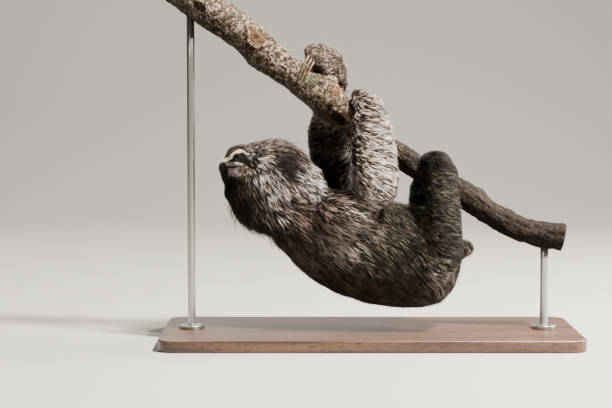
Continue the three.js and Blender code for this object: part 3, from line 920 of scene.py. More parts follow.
def lock_mesh(spine, width, normal):
    """Three-sided tapering spikes along the spines, closed at the root and the tip.

    Ring k of a lock is a flat triangle of corners round the spine, whose width is
    w (0.75 + 1.2 t - 1.95 t^2) and whose ridge points away from the skin.
    """
    n, rows = spine.shape[:2]
    rings = rows - 1
    t = np.linspace(0, 1, rows)[:-1]
    along = unit(np.diff(spine, axis=1))
    out = unit(normal[:, None] - along * (normal[:, None] * along).sum(-1, keepdims=True))
    side = np.cross(along, out)
    half = width[:, None, None] * 0.5 * (0.75 + 1.2 * t - 1.95 * t**2)[None, :, None]
    centre = spine[:, :-1]
    ring = [centre + side * half, centre + out * half * 0.75, centre - side * half]
    corners = np.stack(ring, axis=2)
    verts = np.concatenate([corners.reshape(n, rings * 3, 3), spine[:, -1:]], axis=1)
    faces = []
    for k in range(rings - 1):
        for j in range(3):
            a, b = 3 * k + j, 3 * k + (j + 1) % 3
            faces += [(a, b, b + 3), (a, b + 3, a + 3)]
    top = 3 * (rings - 1)
    faces += [(top + j, top + (j + 1) % 3, 3 * rings) for j in range(3)]
    faces = np.array(faces + [(2, 1, 0)])[:, ::-1]
    first = np.arange(n) * (rings * 3 + 1)
    return verts.reshape(-1, 3), (faces[None] + first[:, None, None]).reshape(-1, 3)


def unwrapped(root):
    """Places from 0 to 1: the angle round a coat piece's long axis, and the way along it."""
    q = root - root.mean(0)
    way, *round_it = (q @ np.linalg.svd(q, full_matrices=False)[2].T).T
    angle = np.arctan2(round_it[1], round_it[0]) / (2 * math.pi) + 0.5
    way = (way - way.min()) / max(np.ptp(way), 1e-9)
    return np.column_stack([angle, way]) * 0.98 + 0.01


def coat_piece(name, spine, width, normal, colours, material):
    """One piece of the coat, with its colours and its OFBake map."""
    obj = mesh_object(name, *lock_mesh(spine, width, normal))
    paint(obj, "coat", colours.reshape(-1, 3))
    # Each lock has a small square of the map, its sides across and its rings along it.
    patch, rows = 0.003, spine.shape[1]
    t = np.linspace(-0.5, 0.5, rows)
    u = np.concatenate([np.tile((-0.5, 0, 0.5), rows - 1), [0]]) * patch
    v = np.concatenate([np.repeat(t[:-1], 3), [0.5]]) * patch
    square = np.column_stack([u, v])[None]
    lay_out(obj, "OFBake", (unwrapped(spine[:, 0])[:, None] + square).reshape(-1, 2))
    placed(obj, "face_coat" if "head" in name else "coat", material)
    return obj


def calmness(curl):
    """How plain the coat is: 1 where it is straightest, as on the muzzle, 0 where it curls."""
    return fall(curl, 0.03, 0.09)


def lock_colours(base, rows, shared, calm, rng, pale, dark):
    """Colours down each lock: dark at the root as painted shade, and pale, middling or dark at the
    tip.

    The choice goes by rank of half the tuft's shared number and half the lock's own. Pale
    and dark are the shares of such tips. Calm locks vary less.
    """
    n = len(base)
    pick = 0.5 * shared + 0.5 * rng.random(n)
    pick = (np.argsort(np.argsort(pick)) / n)[:, None]
    strength = rng.random(n)[:, None]
    bright = base.mean(1, keepdims=True)
    lighter = base * mix(4.4, 11, strength) * ramp(bright, -0.004, 0.012) + 0.01
    # Pale tips go halfway to cream, and level off below 1.7 by x / (1 + x / 1.7).
    cream = np.array((1.09, 0.965, 0.925)) * lighter.mean(1, keepdims=True)
    lighter = mix(lighter, cream, 0.5)
    lighter = lighter / (1 + lighter / 1.7)
    darker = base * mix(0.03, 0.2, strength)
    common = base * mix(0.3, 1.15, strength)
    tip = np.where(pick > 1 - pale, lighter, np.where(pick < dark, darker, common))
    # A marking stays itself: a very dark or very light place is varied less.
    plain = np.clip(fall(bright, 0.0025, 0.005) + ramp(bright, 0.42, 0.55), 0, 1) * 0.85
    tip = mix(tip, base * mix(0.8, 1.15, strength), np.maximum(plain, 0.8 * calm[:, None]))
    # Painted shade: each lock darkens towards its root, less on pale markings and where the coat is
    # calm.
    t = np.concatenate([np.repeat(np.linspace(0, 1, rows)[:-1], 3), [1]])
    shade = mix(0.05, 1.0, ramp(t, 0.0, 0.58))[None, :, None]
    even = np.maximum(0.7 * ramp(bright, 0.42, 0.55), 0.6 * calm[:, None])
    return tip[:, None] * mix(shade, 1.0, even[:, None])


# --- Materials ------------------------------------------------------------------------------


def node(tree, kind, settings=(), **links):
    """Adds a node, sets its properties and sockets, and links sockets to other outputs."""
    made = tree.nodes.new(kind)
    for key, value in dict(settings).items():
        if isinstance(key, str) and hasattr(made, key):
            setattr(made, key, value)
        else:
            made.inputs[key].default_value = value
    for key, source in links.items():
        socket = made.inputs[int(key[1:])] if key[0] == "_" else made.inputs[key.replace("_", " ")]
        tree.links.new(source, socket)
    return made


def new_material(name, **values):
    """A node material: its tree, and its Principled shader with values set on its sockets."""
    material = bpy.data.materials.new(name)
    material.use_nodes = True
    shader = material.node_tree.nodes["Principled BSDF"]
    for key, value in values.items():
        shader.inputs[key.replace("_", " ")].default_value = value
    return material, material.node_tree, shader


def finished(material, shader, colour=None, roughness=None, normal=None):
    """Links the outputs given to the shader, and returns the material."""
    sources = {"Base Color": colour, "Roughness": roughness, "Normal": normal}
    for key, source in sources.items():
        if source:
            material.node_tree.links.new(source, shader.inputs[key])
    return material


def colour_ramp(tree, source, *stops):
    """A colour ramp over a number, from (position, hex colour) stops."""
    made = tree.nodes.new("ShaderNodeValToRGB")
    elements = made.color_ramp.elements
    while len(elements) < len(stops):
        elements.new(0.5)
    for element, (position, code) in zip(elements, stops):
        element.position = position
        element.color = linear(code)
    tree.links.new(source, made.inputs["Fac"])
    return made.outputs["Color"]


def attribute(tree, name, output="Color"):
    """The value at each vertex that a piece carries under a name."""
    return node(tree, "ShaderNodeAttribute", {"attribute_name": name}).outputs[output]


def object_place(tree, stretch=None):
    """The place on the piece, with its axes scaled: below 1 draws a pattern out along one."""
    place = node(tree, "ShaderNodeTexCoord").outputs["Object"]
    return scaled(tree, place, stretch) if stretch else place


def scaled(tree, place, scale):
    """A place with its axes scaled."""
    return node(tree, "ShaderNodeMapping", {"Scale": scale}, Vector=place).outputs["Vector"]


def noise(tree, place, scale, detail, **values):
    """Fractal noise from 0 to 1, with scale cells to a metre."""
    values = {"Scale": scale, "Detail": detail, **values}
    return node(tree, "ShaderNodeTexNoise", values, Vector=place).outputs["Fac"]


def spanned(tree, source, low, high):
    """A number from 0 to 1 laid over the span from low to high."""
    values = {"To Min": low, "To Max": high}
    return node(tree, "ShaderNodeMapRange", values, Value=source).outputs["Result"]


def bumped(tree, height, strength, distance, invert=False):
    """A normal tilted by the slope of a height of so many metres."""
    values = {"Strength": strength, "Distance": distance, "invert": invert}
    return node(tree, "ShaderNodeBump", values, Height=height).outputs["Normal"]


def multiplied(tree, a, b):
    """The product of two colours."""
    values = {"data_type": "RGBA", "blend_type": "MULTIPLY", "Factor": 1.0}
    return node(tree, "ShaderNodeMix", values, _6=a, _7=b).outputs[2]


def fur_material():
    """Coarse keratin guard hairs: pale tips over dark roots, with a dry soft gloss."""
    material, tree, shader = new_material("coarse_guard_hair", IOR=1.55, Specular_IOR_Level=0.12)
    rough = spanned(tree, noise(tree, object_place(tree), 900.0, 1.0), 0.5, 0.7)
    return finished(material, shader, attribute(tree, "coat"), rough)


def skin_material():
    """Short underfur on skin: the coat's markings, darker, with a fine matted bump."""
    material, tree, shader = new_material(
        "matted_underfur", IOR=1.5, Specular_IOR_Level=0.25, Roughness=0.8
    )
    hair = noise(tree, object_place(tree, (0.45, 1.0, 1.0)), 1400.0, 2.0)
    tinted = node(
        tree, "ShaderNodeVectorMath", {"operation": "SCALE"},
        _0=attribute(tree, "coat"), Scale=spanned(tree, hair, 0.55, 1.25),
    )
    bump = bumped(tree, hair, 0.5, 0.0006)
    return finished(material, shader, tinted.outputs["Vector"], normal=bump)


def eye_material():
    """A wet cornea over a nearly black brown iris."""
    material, tree, shader = new_material(
        "wet_cornea", Roughness=0.04, IOR=1.376, Specular_IOR_Level=0.4, Coat_Weight=0.3,
        Coat_Roughness=0.02,
    )
    colour = colour_ramp(
        tree, attribute(tree, "iris", "Fac"), (0.0, "#020202"), (0.4, "#030202"),
        (0.55, "#0c0603"), (0.85, "#060302"), (1.0, "#0a0706"),
    )
    return finished(material, shader, colour)


def nose_material():
    """Bare moist skin: black, with pebbles of 0.7 mm and a damp shine."""
    material, tree, shader = new_material(
        "moist_nose_leather", IOR=1.4, Specular_IOR_Level=0.25, Coat_Weight=0.1,
        Coat_Roughness=0.12, Roughness=0.36,
    )
    place = object_place(tree)
    pebbles = node(tree, "ShaderNodeTexVoronoi", {"Scale": 1400.0}, Vector=place)
    height = pebbles.outputs["Distance"]
    colour = colour_ramp(tree, height, (0.0, "#040303"), (1.0, "#0d0b0a"))
    bump = bumped(tree, height, 0.35, 0.0003, invert=True)
    return finished(material, shader, colour, normal=bump)


def claw_material():
    """Worn horn: tan with darker grooves, which run along the claw, stretched 23 to 1."""
    material, tree, shader = new_material("worn_horn", IOR=1.54, Roughness=0.36)
    length = node(tree, "ShaderNodeUVMap", {"uv_map": "length"}).outputs["UV"]
    groove = noise(tree, scaled(tree, length, (2.0, 46.0, 1.0)), 1.0, 3.0)
    colour = colour_ramp(
        tree, groove, (0.25, "#1d150e"), (0.45, "#40311f"), (0.62, "#685238"), (0.85, "#94805f")
    )
    return finished(material, shader, colour, normal=bumped(tree, groove, 0.3, 0.0004))


def bark_material():
    """Thin flaking bark: its painted colours under a fine grain of dark specks."""
    material, tree, shader = new_material("flaking_grey_bark", Specular_IOR_Level=0.12)
    specks = noise(tree, object_place(tree), 520.0, 3.0, Roughness=0.7)
    shade = colour_ramp(
        tree, specks, (0.4, "#17110c"), (0.48, "#988d81"), (0.56, "#e6ded4"), (0.7, "#ffffff")
    )
    colour = multiplied(tree, attribute(tree, "bark"), shade)
    rough = spanned(tree, specks, 0.75, 0.95)
    return finished(material, shader, colour, rough, bumped(tree, specks, 0.8, 0.0012))


def oak_material():
    """Dark stained oak under satin varnish: open pores and growth rings along its length.

    The rings are 9 mm apart and the pores 0.6 mm wide, both drawn out along the board.
    """
    material, tree, shader = new_material("stained_oak", Coat_Weight=0.35, Coat_Roughness=0.25)
    along = object_place(tree, (0.05, 1.0, 1.0))
    rings = noise(tree, along, 110.0, 4.0, Distortion=0.6)
    pores = noise(tree, along, 1500.0, 1.0)
    wood = colour_ramp(tree, rings, (0.3, "#2a1a10"), (0.5, "#4a3020"), (0.7, "#5d3f2a"))
    dark = colour_ramp(tree, pores, (0.36, "#5a5a5a"), (0.46, "#ffffff"))
    rough = spanned(tree, rings, 0.32, 0.5)
    bump = bumped(tree, pores, 0.15, 0.0002)
    return finished(material, shader, multiplied(tree, wood, dark), rough, bump)


def steel_material():
    """Brushed stainless steel: fine turned lines round the rod, 0.25 mm apart."""
    material, tree, shader = new_material(
        "brushed_stainless_steel", Metallic=1.0, Base_Color=linear("#b4b5b5")
    )
    lines = noise(tree, object_place(tree, (0.02, 0.02, 1.0)), 4000.0, 1.0)
    return finished(material, shader, roughness=spanned(tree, lines, 0.24, 0.38))


def plain_material(name, code, roughness):
    """A plain matt finish for the stage."""
    return new_material(name, Base_Color=linear(code), Roughness=roughness)[0]


# --- Settings -------------------------------------------------------------------------------


class SlothCoatSettings(bpy.types.PropertyGroup):
    voxel: FloatProperty(
        name="Skin voxel", description="Size of the cells that the skin is rebuilt on",
        default=0.0026, unit="LENGTH",
    )
    fullness: FloatProperty(
        name="Fullness",
        description="Number of locks for the distance between roots, as a multiple",
        default=1.0, min=0.1, max=2.0,
    )
    length: FloatProperty(
        name="Length", description="Length of every lock, as a multiple",
        default=1.0, min=0.2, max=2.0,
    )
    tuft: IntProperty(
        name="Locks in a tuft",
        description="Number of neighbouring locks whose tips cling together",
        default=3, min=1,
    )
    pale: FloatProperty(
        name="Pale locks", description="Share of pale locks", default=0.32, subtype="FACTOR"
    )
    dark: FloatProperty(
        name="Dark locks", description="Share of dark locks", default=0.38, subtype="FACTOR"
    )
    seed: IntProperty(name="Seed", description="Start of the random numbers", default=11)


class SlothBarkSettings(bpy.types.PropertyGroup):
    roughness: FloatProperty(
        name="Bark relief", description="Height of the bark's bumps",
        default=0.0014, unit="LENGTH",
    )
    pale_bark: FloatVectorProperty(
        name="Pale bark", description="Colour of sound bark",
        subtype="COLOR", size=4, default=linear("#5d5246"),
    )
    brown_bark: FloatVectorProperty(
        name="Brown bark", description="Colour of the branch's weathered lower end",
        subtype="COLOR", size=4, default=linear("#231e19"),
    )


class SlothStageSettings(bpy.types.PropertyGroup):
    distance: FloatProperty(
        name="Camera distance", description="From the camera to the middle of the view",
        default=2.55, unit="LENGTH",
    )
    elevation: FloatProperty(
        name="Camera elevation", description="Angle of the camera above level",
        default=math.radians(4), subtype="ANGLE",
    )
    key_power: FloatProperty(
        name="Key light", description="Power of the main light in watts", default=430.0
    )


# --- Operators ------------------------------------------------------------------------------

# Locks shorter than this are built with fewer rings, unless a part has too few of them to
# make a piece. The last number is how many triangles a piece of the coat may have.
SHORT_LOCK, FEW_LOCKS, PIECE_LIMIT = 12.5 * MM, 1500, 190000
# No lock grows within this many mm of the middle of an eye, or of the nose pad.
EYE_BARE, NOSE_BARE = 7.8, 0.6


class SLOTH_OT_body(bpy.types.Operator):
    """Builds the skin with its markings, and the coat that grows from it"""

    bl_idname = "sloth.body"
    bl_label = "Skin and coat"

    def execute(self, context):
        settings = context.scene.sloth_coat
        skin = build_skin(settings.voxel)
        co, normal, tri, edges = read_mesh(skin.data)
        names, lay, measures = coat_fields(co, normal, edges)
        colours = markings_light_and_shade(co, names)
        paint(skin, "coat", colours * mix(0.3, 0.75, calmness(measures[:, 4:])))
        placed(skin, "coat", skin_material(), *FLESH)

        rng = np.random.default_rng(settings.seed)
        field = (co, normal, lay, surface_lookup(co, cell=3 * MM, steps=6))
        pitch = measures[:, 2] / math.sqrt(settings.fullness)
        corners, weights = sow_roots(co, tri, pitch, rng)
        root = blend_at(co, corners, weights)
        local = to_head(root)
        eye_gap = np.linalg.norm(left_side(local) - EYE_PLACE, axis=1)
        nose_gap = egg_distance(local, (55, -3.8, 0), (6, 7.0, 8.8))
        keep = (eye_gap > EYE_BARE) & (nose_gap > NOSE_BARE)
        corners, weights, root = corners[keep], weights[keep], root[keep]
        part = names[corners[:, 0]]
        out = unit(blend_at(normal, corners, weights))
        flow = unit(blend_at(lay, corners, weights))
        length, width, _, depth, curl = blend_at(measures, corners, weights).T
        length = length * settings.length * rng.uniform(0.7, 1.25, len(root))
        width = width * rng.uniform(0.7, 1.25, len(root))
        # A lock takes its colour from the place that its outer half covers.
        base = markings_light_and_shade(root + flow * (0.55 * length)[:, None], part)

        groups = {"head": HEAD, "neck": ("neck",), "trunk": ("trunk", "tail")}
        for side in SIDES:
            groups[f"arm_{side}"] = (f"upper_arm_{side}", f"forearm_{side}")
            groups[f"leg_{side}"] = (f"thigh_{side}", f"shin_{side}")
            groups[f"paws_{side}"] = (f"hand_{side}", f"foot_{side}")
        short = length < SHORT_LOCK
        material = fur_material()
        for name, members in groups.items():
            here = np.isin(part, members)
            few = np.count_nonzero(here & short) < FEW_LOCKS
            segments = 5 if name == "head" else 3
            kinds = [("long", here if few else here & ~short, segments), ("short", here & short, 2)]
            if name.startswith("paws"):
                kinds = [("short", here, 3)]
            for kind, chosen, segments in kinds[: 1 if few else 2]:
                rows = np.flatnonzero(chosen)
                rows = rows[np.argsort(root[rows, 0], kind="stable")]
                pieces = -(-len(rows) * (6 * segments - 2) // PIECE_LIMIT)
                hold = 0.95 if kind == "short" else 0.85
                size = settings.tuft * (2 if name.startswith("paws") else 1)
                for i, some in enumerate(np.array_split(rows, pieces)):
                    spine = walk_locks(
                        root[some], flow[some], out[some], length[some], depth[some],
                        curl[some], segments, field, rng, hold,
                    )
                    cling = (0.85 - 0.35 * curl[some]) * ramp(length[some], 5 * MM, 14 * MM)
                    spine, shared = gather_tufts(spine, size, cling, rng)
                    tints = lock_colours(
                        base[some], segments + 1, shared, calmness(curl[some]), rng,
                        settings.pale, settings.dark,
                    )
                    title = f"coat_{name}_{kind}_{i + 1}"
                    coat_piece(title, spine, width[some], out[some], tints, material)
        return {"FINISHED"}


class SLOTH_OT_face(bpy.types.Operator):
    """Builds the eyes and the nose pad"""

    bl_idname = "sloth.face"
    bl_label = "Eyes and nose"

    def execute(self, context):
        material = eye_material()
        for side, sign in (("left", 1), ("right", -1)):
            low, high = np.array(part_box(f"eye_{side}"))
            middle, radius = (low + high) / 2, (high - low).max() / 2
            # A ball of rings about the way it looks; the cornea bulges by 6% round the pole.
            gaze = EYE_OUT * (1, 1, sign) @ HEAD_AXES
            across = unit(np.cross(gaze, (0, 0, 1)))
            above = np.cross(across, gaze)
            polar = np.linspace(0.02, math.pi - 0.02, 28)[:, None, None]
            turn = circle(40)[None, :, None]
            bulge = radius * (1 + 0.06 * np.exp(-((polar / 0.7) ** 2)))
            ring = np.sin(polar) * (np.cos(turn) * across + np.sin(turn) * above)
            rings = middle + bulge * (np.cos(polar) * gaze + ring)
            verts, faces = closed_rings(rings[::-1])
            obj = mesh_object(f"eyeball_{side}", verts, faces)
            # The iris is coloured by the angle from the pole, 0 there and 1 from 75 degrees.
            away = np.degrees(np.arccos(np.clip(unit(verts - middle) @ gaze, -1, 1)))
            layer = obj.data.attributes.new("iris", "FLOAT", "POINT")
            layer.data.foreach_set("value", np.clip(away / 75, 0, 1).astype(np.float32))
            placed(obj, "eye", material, f"eye_{side}")

        # Nose pad, in mm: a ball flattened from the front and wider at the top, with a
        # Gaussian dent for each nostril and a groove down the middle of its lower half.
        polar, turn = np.linspace(0.03, math.pi - 0.03, 48)[:, None], circle(72)[None]
        x = np.cos(polar) * np.ones_like(turn)
        y = np.sin(polar) * np.sin(turn)
        front = x > 0
        ahead = np.sign(x) * np.abs(x) ** 0.8 * 4.6
        up = y * 8.2
        aside = np.sin(polar) * np.cos(turn) * 9.0 * (1 + 0.16 * y)
        for sign in (1, -1):
            dent = ((aside - sign * 3.9) / 1.7) ** 2 + ((up + 0.6) / 1.5) ** 2
            ahead = ahead - 3.2 * np.exp(-dent) * front
        ahead = ahead - 0.7 * np.exp(-((aside / 0.7) ** 2)) * (up < 1) * front
        local = np.stack([ahead + 53.6, up - 3.8, aside], axis=-1)
        obj = mesh_object("nose_pad", *closed_rings(from_head(local)))
        placed(obj, "nose_pad", nose_material(), "nose")
        return {"FINISHED"}


class SLOTH_OT_claws(bpy.types.Operator):
    """Builds the three hooked claws of each paw"""

    bl_idname = "sloth.claws"
    bl_label = "Claws"

    def execute(self, context):
        material = claw_material()
        t, angle = np.linspace(0, 1, 34), circle(16)
        # Radius falls from root to tip as t^1.6, and the last tenth rounds off.
        rounded = np.sqrt(np.clip((1 - t) / 0.1, 0, 1) * 0.98 + 0.02)
        radius = mix(CLAW_ROOT, CLAW_TIP, t**1.6) * rounded * MM
        # The section is an oval with a keel along its outer edge.
        keel = 1 + 0.14 * np.cos(angle) ** 8 * np.sign(np.cos(angle))
        flat, tall = np.sin(angle)[:, None] * CLAW_FLAT, (np.cos(angle) * keel)[:, None]
        for paw, (side, bark, stations) in CLAWS.items():
            parts, uvs = [], []
            way, degrees, height = np.array(stations, float).T
            for number in (1, 2, 3):
                # The claws of a paw draw together towards their tips.
                spacing = CLAW_SPACING * (1 - 0.25 * np.linspace(0, 1, 4))
                shifted = way + (number - 2) * spacing
                route = on_branch(shifted * MM, -side * degrees, height * MM, bark * MM)
                _, line = spline(route, len(t))
                forward = unit(np.gradient(line, axis=0))
                along = branch_axes(np.full(len(t), way[1] * MM))[1]
                across = unit(along - forward * (along * forward).sum(1, keepdims=True))
                ring = flat * across[:, None] + tall * np.cross(forward, across)[:, None]
                rings = line[:, None] + ring * radius[:, None, None]
                parts.append(closed_rings(rings[:, ::-1]))
                # The map holds the way along, and the angle round from the outer edge.
                round_it = np.abs(angle / math.pi - 1) + number
                grid = np.stack(np.meshgrid(t, round_it, indexing="ij"), -1)
                uvs.append(np.vstack([grid.reshape(-1, 2), [(0, number), (1, number)]]))
            obj = mesh_object(f"claws_{paw}", *joined(parts))
            lay_out(obj, "length", np.vstack(uvs))
            placed(obj, "claw", material, *[f"{paw}_claw_{n}" for n in (1, 2, 3)])
        return {"FINISHED"}


# Small knobs of the bark: the way along in mm, degrees round from the top, and height in mm.
BARK_KNOBS = (
    (30, -70, 2.2), (104, -30, 1.8), (165, 150, 3), (190, -96, 2.0), (208, -150, 2.4),
    (262, 10, 2.6), (276, -40, 2.2), (436, -30, 2.2), (560, 10, 3), (590, -80, 1.8),
    (612, -20, 3.4), (650, -100, 2.0), (668, 60, 2.5),
)
# Where the thick limb is snapped off: degrees round from the top, and the way along in mm.
SNAPPED_EDGE = (
    (-180, 322), (-120, 336), (-90, 331), (-62, 318), (-52, 301), (-40, 288), (0, 278),
    (60, 290), (180, 322),
)


class SLOTH_OT_branch(bpy.types.Operator):
    """Builds the branch with its knob, scars, peeled bark and sawn ends"""

    bl_idname = "sloth.branch"
    bl_label = "Branch"

    def execute(self, context):
        settings = context.scene.sloth_bark
        way = np.linspace(0, BRANCH_WAY[-1], 560)
        angle = np.linspace(-math.pi, math.pi, 112, endpoint=False)
        centre, _, up, left, radius = branch_axes(way)
        across, over = np.meshgrid(angle, way)
        flat = np.stack([over, np.cos(across) * 0.024, np.sin(across) * 0.024], axis=-1)
        drawn = flat * (0.35, 1, 1)  # bark features are drawn out along the branch
        over_mm, degrees = over / MM, np.degrees(across)

        def patch(at, turn, long, wide):
            """1 at a place on the bark, falling to 0 over an oval round it."""
            gap = (degrees - turn + 180) % 360 - 180
            return np.exp(-(((over_mm - at) / long) ** 2 + (gap / wide) ** 2))

        rough = settings.roughness
        cracks = ramp(fractal(drawn, 0.0075, 2, 41), 0.35, 0.8)
        relief = rough * (
            1.5 * fractal(flat, 0.045, 3, 21) + 0.9 * fractal(drawn, 0.010, 3, 33) - 0.9 * cracks
            + 0.6 * fractal(flat, 0.005, 2, 35)
        )
        for at, turn, size in BARK_KNOBS:
            relief += size * MM * patch(at, turn, 8, 28)
        # The knob: the thick limb is snapped off along a ragged slanting edge, and only a side
        # shoot goes on past it. The edge runs from the top down the side to the underside.
        slant = np.interp(degrees, *np.transpose(SNAPPED_EDGE))
        ragged = 4.5 * fractal(flat * (0, 1, 1), 0.010, 3, 51)
        past = over_mm + ragged - slant
        shoot = mix(22.5, 18.5, ramp(over_mm, 296, 330)) * MM + rough * fractal(drawn, 0.012, 2, 55)
        open_side = fall(np.abs(degrees + 45), 85, 125)
        drop = ramp(past, -1.0, 7.0) * fall(over_mm, 348, 372) * open_side
        relief = mix(relief, np.minimum(relief, shoot - radius[:, None]), drop)
        hollow = patch(322, -116, 10, 18)
        relief -= 8.5 * MM * ramp(hollow, 0.3, 0.8)
        lip = np.exp(-((past / 3.0) ** 2)) * fall(over_mm, 330, 340) * ramp(over_mm, 280, 288)
        relief += 1.1 * MM * lip * (past < 1)
        # A pruned twig's scar: a raised ring round a shallow disc. And a small rotten pit.
        apart = np.hypot(over_mm - 150, (degrees + 66) * 0.43)
        relief += 1.8 * MM * np.exp(-(((apart - 15.5) / 2.4) ** 2))
        relief -= 1.2 * MM * fall(apart, 10, 14)
        pit = patch(56, -104, 11, 20)
        relief -= 4.0 * MM * ramp(pit, 0.35, 0.8)
        ring = np.cos(across)[..., None] * up[:, None] + np.sin(across)[..., None] * left[:, None]
        rings = centre[:, None] + (radius[:, None] + relief)[..., None] * ring
        # Sawn ends: rings that close in on the middle, square to the branch.
        inward = np.array((0.985, 0.93, 0.75, 0.5, 0.25, 0.08))[:, None]
        first, last = (
            rings[i].mean(0) * (1 - inward)[..., None] + rings[i] * inward[..., None]
            for i in (0, -1)
        )
        verts, faces = closed_rings(np.concatenate([first[::-1], rings, last]))
        obj = mesh_object("branch_bark", verts, [f[:, ::-1] for f in faces])

        # Plates of pale bark with dark specks, greyer and darker towards the lower end.
        def lay_on(colour, share):
            """Mixes a colour over the bark."""
            nonlocal tone
            tone = mix(tone, colour, share[..., None])

        dark = rgb("#2c2016")
        lower = ramp(over_mm, 330, 440)
        fresh = patch(300, -40, 30, 70)
        uneven = (1 + 0.35 * fractal(flat, 0.03, 3, 61)) * (1 + 0.7 * fresh)
        pale, brown = np.array(settings.pale_bark)[:3], np.array(settings.brown_bark)[:3]
        tone = mix(pale, brown, lower[..., None]) * uneven[..., None]
        blotch = ramp(fractal(drawn, 0.016, 2, 71), 0.2, 0.6) * (1 - 0.6 * fresh)
        lay_on(tone * (0.4, 0.36, 0.3), blotch)
        flakes = fractal(flat, 0.003, 2, 75) + 0.3 * fractal(flat, 0.02, 1, 73)
        flakes = ramp(flakes, -0.1, 0.3) * (0.7 + 0.2 * fresh)
        lay_on(rgb("#bdb0a1"), flakes * (1 - lower * 0.93))
        lay_on(dark * 0.8, ramp(fractal(flat, 0.003, 2, 77), 0.15, 0.45) * 0.85)
        lay_on(dark * 1.2, cracks * 0.85)
        # The scar's disc of wood and its dark rim, then torn wood, rot, the lip, and lichen.
        disc = fall(apart - 2 * fractal(flat, 0.006, 2, 79), 12.5, 15)
        lay_on(rgb("#5d452d"), disc * 0.8)
        lay_on(dark, np.exp(-(((apart - 17.5) / 1.3) ** 2)) * 0.6)
        peeled = patch(289, -62, 9, 20) + 0.3 * fractal(flat, 0.007, 2, 81)
        lay_on(rgb("#674729"), ramp(peeled, 0.42, 0.6) * 0.8)
        rotten = patch(306, -140, 16, 26) + 0.2 * fractal(flat, 0.007, 2, 83)
        lay_on(rgb("#5a3d20"), ramp(rotten, 0.35, 0.6) * 0.85)
        lay_on(rgb("#9c8058"), np.clip(lip * 1.3, 0, 1) * 0.8)
        lichen = patch(250, -70, 15, 34) + 0.5 * fractal(flat, 0.006, 2, 91)
        lay_on(rgb("#5a6f55"), ramp(lichen, 0.5, 0.85) * 0.6)
        # Painted shade: the hollow in the snapped end is darkened. The pit is darker too.
        lay_on(dark * 0.7, ramp(hollow + 0.1 * ragged, 0.3, 0.6) * 0.95)
        lay_on(dark, ramp(pit, 0.3, 0.6) * 0.8)
        # Painted shade: the bark darkens by up to 65% towards its underside.
        tone = tone * (1 - 0.65 * fall(np.cos(across), -0.85, 0.1))[..., None]
        # End grain: rings of growth 2.4 mm apart.
        ends = np.stack([inward * r / MM + 0.4 * np.sin(3 * angle) for r in radius[[0, -1]]])
        grain = 0.5 + 0.5 * np.sin(ends * 2 * math.pi / 2.4)
        first, last = mix(rgb("#7d5c3c"), rgb("#b79267"), grain[..., None])
        tone = np.concatenate([first[::-1], np.clip(tone, 0.003, 1), last]).reshape(-1, 3)
        paint(obj, "bark", np.vstack([tone, [rgb("#7a5a3a")] * 2]))
        placed(obj, "bark", bark_material(), "branch")
        return {"FINISHED"}


def turned_piece(profile, x, columns):
    """A lathe surface about a vertical axis at x, from (radius, height) pairs."""
    angle = circle(columns)
    r, z = np.array(profile).T[..., None]
    rings = [r * np.cos(angle) + x, r * np.sin(angle), z * np.ones(columns)]
    return closed_rings(np.stack(rings, axis=-1))


def arc(middle, radius, start, stop, count):
    """Points of a circle's arc in a profile's plane, by angle in degrees."""
    a = np.radians(np.linspace(start, stop, count))
    return [(middle[0] + radius * math.cos(t), middle[1] + radius * math.sin(t)) for t in a]


class SLOTH_OT_stand(bpy.types.Operator):
    """Builds the display stand: an oak base, two steel rods and their flanges"""

    bl_idname = "sloth.stand"
    bl_label = "Stand"

    def execute(self, context):
        low, high = np.array(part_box("stand_base"))
        corner, bevel, cut = 0.024, 0.0025, 0.0003  # cut: the edges of the turned steel
        half = (high - low)[:2] / 2
        # The outline is a rectangle with round corners, drawn in by each row of the profile.
        turn = np.radians(np.arange(0, 360, 90 / 18) + 90 / 36)
        spokes = np.stack([np.cos(turn), np.sin(turn)], axis=-1)
        profile = [(bevel * 8, low[2]), (bevel * 1.01, low[2])]
        for z, start in ((low[2] + bevel, -90), (high[2] - bevel, 0)):
            profile += [(bevel - a, b) for a, b in arc((0, z), bevel, start, start + 90, 7)]
        profile += [(bevel * 1.01, high[2]), (bevel * 8, high[2])]
        rings = np.array(
            [
                np.column_stack([flat, np.full(len(turn), z)])
                for inset, z in profile
                for flat in [np.sign(spokes) * (half - corner) + spokes * (corner - inset)]
            ]
        )
        rows, columns = rings.shape[:2]
        ends = np.arange(columns) + np.array((0, rows - 1))[:, None] * columns
        faces = [grid_faces(rows, columns), ends[:1, ::-1], ends[1:]]
        obj = mesh_object("stand_board", rings.reshape(-1, 3), faces)
        # The underside and the top, its last two faces, are flat.
        for face in list(obj.data.polygons)[-2:]:
            face.use_smooth = False
        placed(obj, "stand_wood", oak_material(), "stand_base")

        steel = steel_material()
        for side in ("left", "right"):
            low, high = np.array(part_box(f"stand_flange_{side}"))
            x, radius = (low[0] + high[0]) / 2, (high[0] - low[0]) / 2
            profile = [(radius * 0.5, low[2]), (radius - 0.0004, low[2]), (radius, low[2] + 0.0004)]
            profile += arc((radius - 0.0012, high[2] - 0.0012), 0.0012, 0, 90, 6)
            profile += [(0.0085, high[2]), (0.0078, high[2] - cut), (0.004, high[2] - cut)]
            obj = mesh_object(f"stand_foot_{side}", *turned_piece(profile, x, 64))
            placed(obj, "stand_steel", steel, f"stand_flange_{side}")
            low, high = np.array(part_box(f"stand_rod_{side}"))
            radius = (high[0] - low[0]) / 2
            # The rod runs up to the top of its part, so it ends inside the bark.
            profile = [(radius * 0.5, low[2]), (radius - cut, low[2]), (radius, low[2] + cut)]
            profile += [(radius, z) for z in np.linspace(low[2] + 0.001, high[2] - 0.001, 8)]
            profile += [(radius * 0.5, high[2])]
            obj = mesh_object(f"stand_post_{side}", *turned_piece(profile, x, 40))
            placed(obj, "stand_steel", steel, f"stand_rod_{side}")
        return {"FINISHED"}


